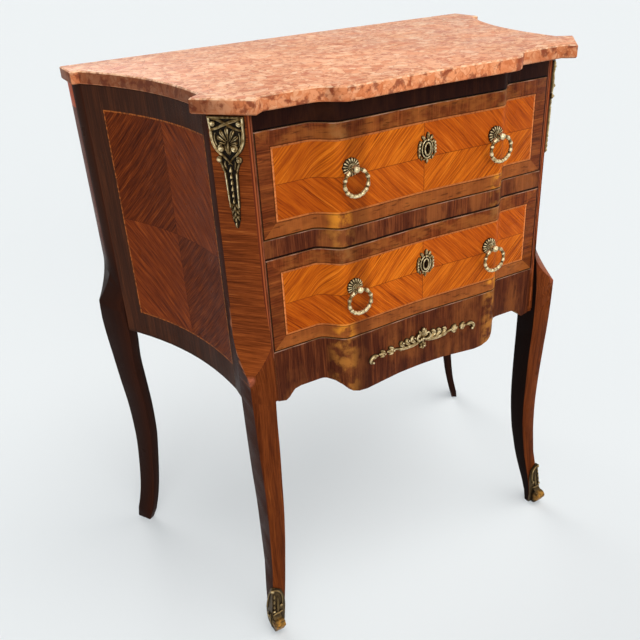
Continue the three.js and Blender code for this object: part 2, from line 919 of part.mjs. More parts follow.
function drawerBackBoard(bottom, top) {
  const half = sideInner - seat;
  return geometryOf(box(
    -half,
    half,
    drawerBack - drawerBackThickness,
    drawerBack,
    bottom + drawerBackDrop / 2,
    top - drawerSideDrop - drawerBackDrop,
  ));
}

// The lock case is let into the back of the front, with a channel for its bolt
function lockCase(top) {
  const half = lockWidth / 2;
  const low = top - lockHeight;
  const body = box(-half, half, lockFront, lockBack + lockPlate, low, top);
  const channel = boltSpace(top - boltHeight - seat, top + overrun);
  const way = keyhole(top - keyDrop, lockFront - overrun, (lockFront + lockBack) / 2, 0);
  return geometryOf(body.subtract(channel).subtract(way));
}

function lockBolt(top) {
  const half = boltWidth / 2;
  return geometryOf(box(-half, half, boltFront, boltFront + boltDepth, top - boltHeight, top));
}

// A ring pull: gadrooned rosette, neck and pierced ball in one casting, with its stem behind
function pullMount(x, z) {
  const face = middleFace - frontHollow - seat;
  const ringOfPetals = (out, radius, depth) => {
    const count = petalCount * 2;
    return Array.from({ length: count }, (_, i) => {
      const angle = 2 * Math.PI * i / count;
      const wave = radius - depth * (1 - Math.cos(petalCount * angle)) / 2;
      return new THREE.Vector3(x + wave * Math.cos(angle), face - out, z + wave * Math.sin(angle));
    });
  };
  const rosette = loft([
    ringOfPetals(0, rosetteRadius, petalDepth),
    ringOfPetals(rosetteRim, rosetteRadius, petalDepth),
    ringOfPetals(rosetteDome * 0.8, rosetteRadius * 0.72, petalDepth * 0.6),
    ringOfPetals(rosetteDome * 0.7, rosetteRadius * 0.45, 0),
    ringOfPetals(rosetteDome, rosetteRadius * 0.34, 0),
  ]);
  const centre = face - pullStand;
  const neck = rod(x, z, neckRadius, centre, face, 10);
  const ball = solidOf(new THREE.SphereGeometry(ballRadius, 12, 8).translate(x, centre, z));
  const bore = new THREE.CylinderGeometry(ballBore, ballBore, 4 * ballRadius, 10);
  bore.rotateZ(Math.PI / 2).translate(x, centre, z);
  const inside = face + seat + frontThickness;
  const stem = rod(x, z, stemRadius, face - seat, inside + nutThickness + stemPast, 10);
  return geometryOf(join([rosette, neck, ball, stem]).subtract(solidOf(bore)));
}

function pullNut(x, z) {
  const inside = middleFace - frontHollow + frontThickness + seat;
  const outside = inside + nutThickness;
  const bore = rod(x, z, stemRadius + seat, inside - overrun, outside + overrun, 10);
  return geometryOf(rod(x, z, nutRadius, inside, outside, 6).subtract(bore));
}

// The ring swells from a slim neck in the ball to a beaded garland below
function pullRing(x, z) {
  const hang = middleFace - frontHollow - seat - pullStand;
  const centre = new THREE.Vector3(x, hang, z + ringRise - ringRadius);
  const count = ringBeads * 2;
  const sides = 6;
  const positions = [];
  const faces = [];
  for (let i = 0; i < count; i += 1) {
    const angle = 2 * Math.PI * i / count;
    const below = smoothStep((1 - Math.cos(angle)) / 2 * 4 - 0.3);
    const bead = 1 - ringBeadShare * (i % 2) * below;
    const tube = (ringNeck + (ringTube - ringNeck) * below) * bead;
    for (let k = 0; k < sides; k += 1) {
      const turn = 2 * Math.PI * k / sides;
      const radius = ringRadius + tube * Math.cos(turn);
      positions.push(
        centre.x + radius * Math.sin(angle),
        centre.y + tube * Math.sin(turn),
        centre.z + radius * Math.cos(angle),
      );
      const next = (i + 1) % count;
      const side = (k + 1) % sides;
      const a = i * sides + k;
      const b = next * sides + k;
      const c = next * sides + side;
      const d = i * sides + side;
      faces.push(a, b, c, a, c, d);
    }
  }
  const geometry = new THREE.BufferGeometry();
  geometry.setAttribute('position', new THREE.Float32BufferAttribute(positions, 3));
  geometry.setIndex(faces);
  return geometryOf(solidOf(geometry));
}

// A bronze leaf that lies on a plate and points along its angle: pointed ends and a raised back
const leafShares = [
  [1, 0],
  [0.3, 0.95],
  [-0.6, 0.8],
  [-1, 0],
  [-0.6, -0.8],
  [0.3, -0.95],
];

function leaf(x, y, angle, length, width, height) {
  const ring = (size, lift) => leafShares.map(([along, across]) => {
    const u = along * length / 2 * size;
    const v = across * width / 2 * size;
    return new THREE.Vector3(
      x + u * Math.cos(angle) - v * Math.sin(angle),
      y + u * Math.sin(angle) + v * Math.cos(angle),
      lift,
    );
  });
  return loft([ring(1, 0), ring(leafCrownShare, height)]);
}

// A small open scroll that lies on a plate
function scroll(x, y, radius, bar, height) {
  const outline = new THREE.Shape();
  outline.absarc(0, 0, radius + bar / 2, 0, 2 * Math.PI);
  const eye = new THREE.Path();
  eye.absarc(0, 0, radius - bar / 2, 0, 2 * Math.PI, true);
  outline.holes.push(eye);
  const geometry = new THREE.ExtrudeGeometry(outline, {
    depth: height,
    bevelEnabled: false,
    curveSegments: 7,
  });
  return solidOf(geometry.translate(x, y, 0));
}

// Key plate: a crested oval frame with side drops and a pendant
function escutcheonPlate(z) {
  const half = escutcheonWidth / 2;
  const below = keyholeRise;
  const above = escutcheonHeight - keyholeRise;
  const outline = new THREE.Shape();
  outline.moveTo(0, -below);
  outline.quadraticCurveTo(half * 0.3, -below * 0.9, half * 0.45, -below * 0.72);
  outline.quadraticCurveTo(half * 0.75, -below * 0.8, half * 0.85, -below * 0.5);
  outline.quadraticCurveTo(half * 0.8, -below * 0.2, half * 0.95, below * 0.15);
  outline.quadraticCurveTo(half * 1.05, above * 0.35, half * 0.85, above * 0.5);
  outline.quadraticCurveTo(half, above * 0.72, half * 0.62, above * 0.72);
  outline.quadraticCurveTo(half * 0.55, above * 0.98, 0, above);
  outline.quadraticCurveTo(-half * 0.55, above * 0.98, -half * 0.62, above * 0.72);
  outline.quadraticCurveTo(-half, above * 0.72, -half * 0.85, above * 0.5);
  outline.quadraticCurveTo(-half * 1.05, above * 0.35, -half * 0.95, below * 0.15);
  outline.quadraticCurveTo(-half * 0.8, -below * 0.2, -half * 0.85, -below * 0.5);
  outline.quadraticCurveTo(-half * 0.75, -below * 0.8, -half * 0.45, -below * 0.72);
  outline.quadraticCurveTo(-half * 0.3, -below * 0.9, 0, -below);
  let body = solidOf(plate(outline, mountThickness / 2, mountThickness / 6, 3));
  const oval = new THREE.TorusGeometry(half * 0.52, mountThickness / 2, 4, 16);
  oval.scale(1, 1.3, 1).translate(0, 0, mountThickness / 2);
  body = body.add(solidOf(oval));
  for (let i = -2; i <= 2; i += 1) {
    const angle = Math.PI / 2 + i * Math.PI / 7;
    const reach = above * 0.66;
    const x = -i * half * 0.26;
    body = body.add(leaf(x, reach, angle, above * 0.5, half * 0.36, mountThickness * 1.1));
  }
  const place = new THREE.Matrix4().makeBasis(
    new THREE.Vector3(1, 0, 0),
    up,
    new THREE.Vector3(0, -1, 0),
  ).setPosition(keyShift, middleFace - seat, z);
  const plateSolid = solidOf(geometryOf(body).applyMatrix4(place));
  return geometryOf(plateSolid.subtract(keyhole(z, middleFace - 4 * mountThickness, middleFace, 0)));
}

function addDrawer(name, bottom, top) {
  add(`drawer_${name}_front`, 'frontVeneer', drawerFront(bottom, top));
  const side = geometryOf(drawerSide(bottom, top));
  add(`drawer_${name}_side_right`, 'oak', side);
  add(`drawer_${name}_side_left`, 'oak', mirrored(side));
  add(`drawer_${name}_back`, 'oak', drawerBackBoard(bottom, top));
  add(`drawer_${name}_bottom`, 'oak', drawerBottom(bottom));
  add(`lock_${name}_case`, 'steel', lockCase(top));
  add(`lock_${name}_bolt`, 'steel', lockBolt(top));
  add(`escutcheon_${name}`, 'bronze', escutcheonPlate(top - keyDrop));
  const pullHeight = top - pullDrop;
  for (const [hand, sign] of [['left', -1], ['right', 1]]) {
    const x = sign * pullOffset;
    add(`pull_${name}_${hand}_mount`, 'bronze', pullMount(x, pullHeight));
    add(`pull_${name}_${hand}_nut`, 'steel', pullNut(x, pullHeight));
    add(`pull_${name}_${hand}_ring`, 'bronze', pullRing(x, pullHeight));
  }
}

addDrawer('upper', upperDrawerBottom, upperDrawerTop);
addDrawer('lower', lowerDrawerBottom, lowerDrawerTop);

// Bronze corner mounts on the canted faces: a raised frame on a sunk ground

function chutePlate() {
  const half = chuteWidth / 2;
  const ovalHalf = ovalWidth / 2;
  const top = chuteTopHeight;
  const neck = top + ovalHeight;
  const outline = new THREE.Shape();
  outline.moveTo(-half, 0);
  outline.lineTo(half, 0);
  outline.lineTo(half, -top);
  outline.quadraticCurveTo(ovalHalf * 1.02, -(top + neck) / 2, neckHalf * 1.35, -neck);
  outline.lineTo(neckHalf * 1.4, -neck - frameBar);
  outline.quadraticCurveTo(neckHalf, -neck - 2 * frameBar, tipHalf * 1.25, -chuteFrameEnd);
  outline.lineTo(tipHalf, -chuteFrameEnd - frameBar);
  outline.quadraticCurveTo(tipHalf, -chuteHeight + frameBar, 0, -chuteHeight);
  outline.quadraticCurveTo(-tipHalf, -chuteHeight + frameBar, -tipHalf, -chuteFrameEnd - frameBar);
  outline.lineTo(-tipHalf * 1.25, -chuteFrameEnd);
  outline.quadraticCurveTo(-neckHalf, -neck - 2 * frameBar, -neckHalf * 1.4, -neck - frameBar);
  outline.lineTo(-neckHalf * 1.35, -neck);
  outline.quadraticCurveTo(-ovalHalf * 1.02, -(top + neck) / 2, -half, -top);
  outline.closePath();
  const window = new THREE.Path();
  const windowHalf = (ovalHeight - frameBar) / 2;
  window.absellipse(0, -(top + neck - frameBar) / 2, ovalHalf - frameBar, windowHalf, 0, 2 * Math.PI);
  const slot = new THREE.Path();
  slot.moveTo(-neckHalf + frameBar, -neck - 2 * frameBar);
  slot.lineTo(-tipHalf * 1.25 + frameBar, -chuteFrameEnd);
  slot.lineTo(tipHalf * 1.25 - frameBar, -chuteFrameEnd);
  slot.lineTo(neckHalf - frameBar, -neck - 2 * frameBar);
  slot.closePath();
  const ground = solidOf(plate(outline, mountGround, mountGround / 4, 4));
  outline.holes.push(window, slot);
  return ground.add(solidOf(plate(outline, chuteRelief, chuteRelief / 6, 4)));
}

// How far down the leaves at the tip lie and how wide they are,
// as shares of the frame's bar and of the tip's half width
const tipLeafShares = [
  [1.4, 1.7],
  [3.5, 1.3],
  [5.6, 0.9],
];

function cornerMount() {
  const solids = [chutePlate()];
  const rise = chuteRelief * 1.2;
  const foot = -chuteTopHeight - ovalHeight * 0.92;
  for (let i = -3; i <= 3; i += 1) {
    const angle = i * Math.PI / 8;
    const reach = ovalHeight * (0.40 - 0.02 * Math.abs(i));
    const x = Math.sin(angle) * reach;
    const y = foot + Math.cos(angle) * reach;
    solids.push(leaf(x, y, Math.PI / 2 - angle, ovalHeight * 0.56, ovalWidth * 0.13, rise));
  }
  for (const side of [-1, 1]) {
    const low = foot + ovalHeight * 0.16;
    solids.push(scroll(side * ovalWidth * 0.27, low, ovalWidth * 0.11, frameBar * 0.7, rise));
    solids.push(scroll(side * neckHalf * 1.25, foot - frameBar * 0.4, neckHalf * 0.36, frameBar * 0.6, rise));
    const corner = chuteWidth / 2 - chuteTopHeight * 0.45;
    solids.push(scroll(side * corner, -chuteTopHeight * 0.5, chuteTopHeight * 0.3, frameBar * 0.6, rise));
  }
  const start = chuteTopHeight + ovalHeight;
  const pitch = (chuteFrameEnd - start) / huskCount;
  for (let i = 0; i < huskCount; i += 1) {
    const y = -start - pitch * (i + 0.7);
    const fade = 1 - i / huskCount / 3;
    solids.push(leaf(0, y, -Math.PI / 2, pitch * 1.3, pitch * 0.7 * fade, chuteRelief));
  }
  for (const [down, across] of tipLeafShares) {
    const y = -chuteFrameEnd - frameBar * down;
    solids.push(leaf(0, y, -Math.PI / 2, frameBar * 3, tipHalf * across, rise));
  }
  const middle = new THREE.Vector2(postOuter - chamferAcross / 2, wingFace + chamferDeep / 2);
  middle.addScaledVector(outward, seat);
  const place = new THREE.Matrix4().makeBasis(
    new THREE.Vector3(-alongFace.x, -alongFace.y, 0),
    up,
    new THREE.Vector3(outward.x, outward.y, 0),
  ).setPosition(middle.x, middle.y, carcassTop - chuteDrop);
  return solidOf(geometryOf(join(solids)).applyMatrix4(place));
}

addPair('corner_mount', 'bronze', cornerMount());

// Bronze mount on the apron: a shell, leaves and husks that end in scrolls

// Heights of the crossed petals of the pendant flower, as shares of the mount's thickness
const pendantShares = [1.2, 1.3, 1.4];

function apronMount() {
  const shell = apronMountHalf * 0.2;
  const middle = apronTop - apronDepth * apronMountShare;
  const bar = frameBar;
  const droop = (x) => -apronMountSag * (1 - Math.cos(Math.PI * x / apronMountHalf)) / 2;
  const places = [...steps(-apronMountHalf, apronMountHalf, 20), apronMountHalf].map((x) => x * 0.93);
  const strip = new THREE.ExtrudeGeometry(
    shapeOf([
      ...places.map((x) => [x, droop(x) - bar / 2]),
      ...places.map((x) => [x, droop(x) + bar / 2]).reverse(),
    ]),
    { depth: mountThickness / 2, bevelEnabled: false },
  );
  const solids = [solidOf(strip)];
  for (let i = -3; i <= 3; i += 1) {
    const angle = i * Math.PI / 8;
    const x = Math.sin(angle) * shell * 0.45;
    const y = Math.cos(angle) * shell * 0.5 - bar;
    solids.push(leaf(x, y, Math.PI / 2 - angle, shell, shell * 0.3, mountThickness * 1.4));
  }
  solids.push(leaf(0, -shell * 0.35, -Math.PI / 2, shell * 0.7, shell * 0.34, mountThickness * 1.2));
  pendantShares.forEach((lift, i) => {
    const angle = i * Math.PI / pendantShares.length;
    solids.push(leaf(0, -shell * 0.8, angle, shell * 0.62, shell * 0.24, mountThickness * lift));
  });
  for (const side of [-1, 1]) {
    const forward = side > 0 ? 0 : Math.PI;
    for (let i = 0; i < 4; i += 1) {
      const x = side * apronMountHalf * (0.19 + 0.11 * i);
      const size = shell * (0.95 - 0.1 * i);
      const lean = side * 0.7;
      solids.push(leaf(x, droop(x) + bar, forward + lean, size, shell * 0.34, mountThickness * 1.3));
      solids.push(leaf(x, droop(x) - bar, forward - lean, size * 0.8, shell * 0.28, mountThickness * 1.1));
    }
    for (let i = 0; i < 3; i += 1) {
      const x = side * apronMountHalf * (0.62 + 0.09 * i);
      solids.push(leaf(x, droop(x), forward, shell * 0.5, shell * 0.36, mountThickness * 1.2));
    }
    const end = side * apronMountHalf * 0.92;
    const rise = mountThickness * 1.2;
    solids.push(scroll(end, droop(apronMountHalf) + bar, shell * 0.26, bar * 0.9, rise));
  }
  const flat = join(solids);
  const geometry = geometryOf(flat);
  const points = geometry.attributes.position;
  for (let i = 0; i < points.count; i += 1) {
    const x = points.getX(i);
    const out = points.getZ(i);
    points.setXYZ(i, x, wingFace - swell(x) - seat - out, middle + points.getY(i));
  }
  return geometry;
}

add('apron_mount', 'bronze', apronMount());

// Bronze shoes on the front feet: a leaf up the corner and a scroll at the toe

// Height, cover of the front face and cover of the outer side,
// as shares of the shoe's height, the leg's width and its depth
const sabotShares = [
  [0.00, 0.96, 0.96],
  [0.34, 0.96, 0.96],
  [0.50, 0.96, 0.85],
  [0.66, 0.92, 0.62],
  [0.82, 0.77, 0.40],
  [0.93, 0.52, 0.22],
  [1.00, 0.08, 0.06],
];

function sabotRing(height) {
  const [inner, corner, rear] = frontLegRing(height, seat);
  const across = (corner.x - inner.x) * smoothColumn(sabotShares, 1, height / sabotHeight);
  const deep = (rear.y - corner.y) * smoothColumn(sabotShares, 2, height / sabotHeight);
  return [
    new THREE.Vector3(corner.x - across, corner.y - sabotWall, height),
    new THREE.Vector3(corner.x + sabotWall, corner.y - sabotWall, height),
    new THREE.Vector3(corner.x + sabotWall, corner.y + deep, height),
    new THREE.Vector3(corner.x - seat, corner.y + deep, height),
    new THREE.Vector3(corner.x - across, corner.y + sabotWall, height),
  ];
}

// The shoe runs forward under the corner of the front face and curls up into a scroll
function sabotToe() {
  const corner = frontLegRing(toeHeight, 0)[1];
  const middle = corner.x + (sabotWall - toeWidth) / 2;
  const profile = new THREE.Shape();
  profile.moveTo(-toeRadius, sabotRaise);
  profile.lineTo(toeRadius / 2, sabotRaise);
  profile.quadraticCurveTo(toeReach, sabotRaise, toeReach + toeRadius, toeHeight);
  profile.lineTo(toeReach, toeHeight + toeRadius);
  profile.quadraticCurveTo(toeRadius / 2, toeHeight + toeRadius, 0, toeTop);
  profile.lineTo(-toeRadius, toeTop);
  const body = new THREE.ExtrudeGeometry(profile, {
    depth: toeWidth,
    bevelEnabled: false,
    curveSegments: 5,
  });
  const place = new THREE.Matrix4().makeBasis(
    new THREE.Vector3(0, -1, 0),
    up,
    new THREE.Vector3(-1, 0, 0),
  ).setPosition(middle + toeWidth / 2, corner.y, 0);
  const roll = new THREE.CylinderGeometry(toeRadius, toeRadius, toeWidth + sabotWall, 14);
  const eye = new THREE.CylinderGeometry(toeRadius / 2, toeRadius / 2, toeWidth + 2 * sabotWall, 8);
  const rolls = [roll, eye].map((part) => {
    part.rotateZ(Math.PI / 2).translate(middle, corner.y - toeReach, toeHeight);
    return solidOf(part);
  });
  return join([solidOf(body.applyMatrix4(place)), ...rolls]);
}

function sabot() {
  const shell = loft([...steps(sabotRaise, sabotHeight, 10), sabotHeight].map(sabotRing));
  return shell.add(sabotToe()).subtract(frontLeg(seat));
}

addPair('sabot', 'bronze', sabot());

export default commode;
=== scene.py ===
"""Looks for the small two-drawer commode: veneers, marble, chased bronze, light and camera.

Lengths are in metres in the frame of the CAD model. Ornament is drawn in millimetres in a flat
frame of its own (u across, v up, w out of the face) and then laid on the piece that carries it.
"""

import math

import bmesh
import bpy
from mathutils import Matrix, Vector


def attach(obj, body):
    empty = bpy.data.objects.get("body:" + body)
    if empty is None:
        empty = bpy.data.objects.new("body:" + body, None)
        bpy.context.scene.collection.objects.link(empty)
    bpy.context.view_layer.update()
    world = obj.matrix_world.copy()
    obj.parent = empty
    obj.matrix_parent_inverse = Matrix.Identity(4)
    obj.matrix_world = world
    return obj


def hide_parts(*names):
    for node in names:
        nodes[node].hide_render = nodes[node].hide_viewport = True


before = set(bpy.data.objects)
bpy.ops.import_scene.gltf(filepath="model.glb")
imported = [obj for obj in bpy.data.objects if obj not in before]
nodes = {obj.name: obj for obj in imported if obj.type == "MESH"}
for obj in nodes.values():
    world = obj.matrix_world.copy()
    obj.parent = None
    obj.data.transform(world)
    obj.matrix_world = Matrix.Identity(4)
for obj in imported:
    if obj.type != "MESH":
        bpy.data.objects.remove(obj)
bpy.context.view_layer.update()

# ---------------------------------------------------------------- sizes shared with the CAD source

MM = 0.001
WING = -0.15275
BREAK = 0.024
HOLLOW = 0.0035
OGEE_OUT = 0.154
OGEE_IN = 0.120
POST = 0.2575
CHAMFER = (0.0315, 0.0355)
SEAT = 0.0003
CASE_TOP = 0.7827
DRAWERS = {"upper": (0.6269, 0.7560), "lower": (0.4733, 0.6003)}
KEY_DROP = 0.0515
KEY_SHIFT = 0.0028
PULL_DROP = 0.0538
PULL_X = 0.110
PULL_STAND = 0.013
FACE_IN = WING - BREAK - SEAT
MIDDLE_FACE = WING - BREAK + HOLLOW - SEAT

# ---------------------------------------------------------------- places in the veneer and its wear

PANEL_HALF = 0.1975  # half the quartered panel of a drawer front
BANDING = 0.0215  # height of the crossbanding above and below it
SHOULDER = 0.1235  # middle of the ogee
SHADED_HOLLOW = -0.101  # painted shade in the hollow beside the left shoulder
FRONT_HALF = 0.2170  # half a drawer front, less its edge darkened as painted shade
POST_EDGE = 0.2203  # inner edge of a front post, its painted highlight line and the red strip outside that
POST_HIGHLIGHT = 0.2232
POST_STRIP = (0.2238, 0.2242)
MEND = 0.7475  # mended patch at the top of the left back post
APRON_MOUNT = 0.433
CANT_FOOT = (0.4395, 0.4465)  # where the canted face runs out
# rubbed spots at the knee and at the rolled toe
KNEE = (0.2606, -0.1612, 0.4475)
TOE = (0.2640, -0.1800, 0.0160)


def swell(x):
    """How far the front stands forward of its wings at x."""
    x = abs(x)
    if x >= OGEE_OUT:
        return 0.0
    if x >= OGEE_IN:
        return BREAK * (1 - math.cos(math.pi * (OGEE_OUT - x) / (OGEE_OUT - OGEE_IN))) / 2
    return BREAK - HOLLOW * (1 + math.cos(math.pi * x / OGEE_IN)) / 2


# ---------------------------------------------------------------- node trees


def srgb(r, g, b):
    """Colour as a picture editor writes it, turned into the renderer's linear values."""
    def one(c):
        c /= 255
        return c / 12.92 if c <= 0.04045 else ((c + 0.055) / 1.055) ** 2.4
    return (one(r), one(g), one(b), 1.0)


class Graph:
    """Builds the nodes of one node tree with short calls."""

    def __init__(self, nt):
        self.nt = nt
        nt.nodes.clear()

    def node(self, kind, inputs=(), **settings):
        """A node with its settings, and the values or links of its inputs by order or by name."""
        node = self.nt.nodes.new("ShaderNode" + kind)
        for name, value in settings.items():
            setattr(node, name, value)
        for key, value in inputs.items() if isinstance(inputs, dict) else enumerate(inputs):
            self.put(node.inputs[key], value)
        return node

    def put(self, socket, value):
        if isinstance(value, bpy.types.NodeSocket):
            self.nt.links.new(value, socket)
        else:
            socket.default_value = value

    def math(self, op, a, b=0.0):
        return self.node("Math", (a, b), operation=op).outputs[0]

    def add(self, a, b):
        return self.math("ADD", a, b)

    def sub(self, a, b):
        return self.math("SUBTRACT", a, b)

    def mul(self, first, *others):
        for other in others:
            first = self.math("MULTIPLY", first, other)
        return first

    def neg(self, a):
        return self.mul(a, -1.0)

    def sign(self, a):
        return self.math("SIGN", a)

    def absolute(self, a):
        return self.math("ABSOLUTE", a)

    def most(self, a, b):
        return self.math("MAXIMUM", a, b)

    def under(self, a, b):
        return self.math("LESS_THAN", a, b)

    def over(self, a, b):
        return self.math("GREATER_THAN", a, b)

    def vec(self, x, y, z):
        return self.node("CombineXYZ", (x, y, z)).outputs[0]

    def split(self, vector):
        return self.node("SeparateXYZ", (vector,)).outputs

    def noise(self, vector, scale, detail=3.0, rough=0.55, colour=False):
        inputs = {"Vector": vector, "Scale": scale, "Detail": detail, "Roughness": rough}
        return self.node("TexNoise", inputs).outputs["Color" if colour else "Fac"]

    def cells(self, vector, scale, feature="F1"):
        return self.node("TexVoronoi", {"Vector": vector, "Scale": scale}, feature=feature).outputs

    def step(self, value, lo, hi, smooth=True, a=0.0, b=1.0):
        """a below lo, b above hi, and a soft change between them."""
        inputs = {"Value": value, "From Min": lo, "From Max": hi, "To Min": a, "To Max": b}
        kind = "SMOOTHSTEP" if smooth else "LINEAR"
        return self.node("MapRange", inputs, interpolation_type=kind).outputs[0]

    def fall(self, value, lo, hi):
        """1 below lo, 0 above hi."""
        return self.step(value, lo, hi, a=1.0, b=0.0)

    def band(self, value, centre, half, soft):
        """1 within half of centre, and 0 beyond a soft edge."""
        return self.fall(self.absolute(self.sub(value, centre)), half, half + soft)

    def ramp(self, fac, stops):
        """Colours (place, r, g, b) along a value, each as a picture editor writes it."""
        node = self.node("ValToRGB", (fac,))
        elements = node.color_ramp.elements
        while len(elements) < len(stops):
            elements.new(0.5)
        for element, (place, *colour) in zip(elements, stops):
            element.position = place
            element.color = srgb(*colour)
        return node.outputs[0]

    def mix(self, fac, a, b, mode="MIX"):
        return self.node("Mix", {0: fac, 6: a, 7: b}, data_type="RGBA", blend_type=mode).outputs[2]

    def paint(self, colour, share, r, g, b):
        """Lays a share of one flat tone over a colour."""
        return self.mix(share, colour, srgb(r, g, b))

    def stain(self, colour, r, g, b):
        """Multiplies a colour, channel by channel."""
        return self.mix(1.0, colour, self.vec(r, g, b), "MULTIPLY")

    def blend(self, fac, a, b):
        return self.node("Mix", {0: fac, 2: a, 3: b}, data_type="FLOAT").outputs[0]

    def bump(self, height, strength, distance):
        inputs = {"Strength": strength, "Distance": distance, "Height": height}
        return self.node("Bump", inputs).outputs[0]


class Tree(Graph):
    """The nodes of one material on the object."""

    def __init__(self, name):
        self.mat = bpy.data.materials.new(name)
        self.mat.use_nodes = True
        super().__init__(self.mat.node_tree)
        self.bsdf = self.node("BsdfPrincipled")
        self.node("OutputMaterial", (self.bsdf.outputs[0],))
        coord = self.node("TexCoord").outputs
        self.pos = coord["Object"]
        self.x, self.y, self.z = self.split(self.pos)
        self.nx, self.ny, self.nz = self.split(coord["Normal"])
        self.fore = self.neg(self.ny)

    def patches(self, scale, detail, lo, hi, a=0.0, b=1.0):
        """Soft patches of noise over the object."""
        return self.step(self.noise(self.pos, scale, detail), lo, hi, a=a, b=b)

    def near(self, place, lo, hi):
        """1 within lo of a place on either side, and 0 beyond hi."""
        here = self.vec(self.absolute(self.x), self.y, self.z)
        away = self.node("VectorMath", (here, place), operation="DISTANCE").outputs["Value"]
        return self.fall(away, lo, hi)

    def finish(self, colour, rough, normal, **sockets):
        self.put(self.bsdf.inputs["Base Color"], colour)
        self.put(self.bsdf.inputs["Roughness"], rough)
        self.put(self.bsdf.inputs["Normal"], normal)
        for name, value in sockets.items():
            self.bsdf.inputs[name.replace("_", " ")].default_value = value
        return self.mat


POLISH = {"Specular_IOR_Level": 0.02}


def grain(t, along, across, deep, seed=0.0, stretch=1.0):
    """Streaks of wood: (broad tone, fine streaks, pores), each about 0 to 1."""
    warp = t.noise(t.vec(t.mul(along, 7.0), t.mul(across, 9.0), t.add(deep, seed)), 1.0, 2.0)
    bent = t.add(across, t.mul(t.sub(warp, 0.5), 0.008 * stretch))
    shift = t.mul(deep, 20.0)
    broad = t.noise(t.vec(t.mul(along, 6.0), t.mul(bent, 120.0), t.add(shift, seed)), 1.0, 4.0, 0.62)
    lines = t.vec(t.mul(along, 22.0), t.mul(bent, 640.0), t.add(shift, seed + 3.1))
    fine = t.noise(lines, 1.0, 3.0, 0.6)
    dots = t.vec(t.mul(along, 110.0), t.mul(bent, 1700.0), t.add(shift, seed + 7.7))
    pores = t.noise(dots, 1.0, 2.0, 0.5)
    return broad, fine, pores


def wood_colour(t, streaks, stops, contrast=0.55, spread=0.24):
    """Mixes the streaks and lays them over a ramp of tones."""
    broad, fine, pores = streaks
    tone = t.blend(contrast, broad, fine)
    tone = t.step(tone, 0.5 - spread, 0.5 + spread, smooth=False)
    colour = t.ramp(tone, stops)
    dark = t.step(pores, 0.30, 0.42, a=0.70, b=1.0)
    return t.stain(colour, dark, dark, dark)


def relief_height(t, streaks):
    _, fine, pores = streaks
    return t.add(t.mul(fine, 0.6), t.mul(t.step(pores, 0.28, 0.42), 0.5))


# ---------------------------------------------------------------- woods

BRIGHT = [(0.0, 115, 47, 9), (0.35, 166, 75, 16), (0.65, 202, 102, 20), (1.0, 225, 132, 42)]
BORDER = [(0.0, 59, 23, 11), (0.45, 97, 44, 21), (0.8, 131, 66, 30), (1.0, 161, 94, 45)]
KING = [(0.0, 57, 21, 8), (0.4, 99, 42, 17), (0.75, 138, 63, 24), (1.0, 172, 88, 37)]
DARK = [(0.0, 40, 17, 11), (0.5, 80, 38, 22), (0.85, 121, 64, 34), (1.0, 164, 99, 55)]
CANTED = [(0.0, 65, 26, 10), (0.4, 106, 49, 20), (0.8, 139, 69, 29), (1.0, 170, 98, 46)]
OAK = [(0.0, 116, 82, 48), (0.5, 150, 112, 68), (1.0, 178, 140, 92)]


def secondary(t, along, across, deep):
    """Dry oak for the inside of drawers and carcass."""
    return wood_colour(t, grain(t, along, across, deep, 5.0), OAK, 0.45)


def veneered(t, face, streaks, bare, outward, depth, dull, patches, hole=None):
    """Veneer where the wood looks outward and dry oak elsewhere.

    bare is the run of the oak's grain, depth the bump's strength and distance, dull the oak's
    roughness, and patches the scale and the two ends of the veneer's.
    """
    shown = t.step(outward, 0.2, 0.35)
    colour = t.mix(shown, secondary(t, *bare), face)
    if hole is not None:
        # painted shade inside a hole, nearly black
        colour = t.paint(colour, t.mul(hole, 0.95), 14, 9, 7)
    scale, low, high = patches
    rough = t.blend(shown, dull, t.patches(scale, 3.0, 0.3, 0.7, a=low, b=high))
    return t.finish(colour, rough, t.bump(relief_height(t, streaks), *depth), **POLISH)


def hollow_shade(t):
    """Painted shade in the hollow beside the left shoulder, in soft patches."""
    band = t.band(t.x, SHADED_HOLLOW, 0.006, 0.017)
    return t.mul(band, t.patches(14.0, 2.0, 0.25, 0.75, a=0.27, b=0.50))


def quarters(t, a, b, half_a, half_b, by_side, by_level):
    """Four matched leaves about a = b = 0, whose grain climbs to the middle from the corners."""
    side, level = t.sign(a), t.sign(b)
    quarter = t.add(t.mul(side, by_side), t.mul(level, by_level))
    a, b = t.absolute(a), t.absolute(b)
    along = t.sub(t.mul(a, 0.71), t.mul(b, 0.70))
    across = t.add(t.mul(a, 0.70), t.mul(b, 0.71))
    return side, level, quarter, along, across, t.sub(a, half_a), t.sub(b, half_b)


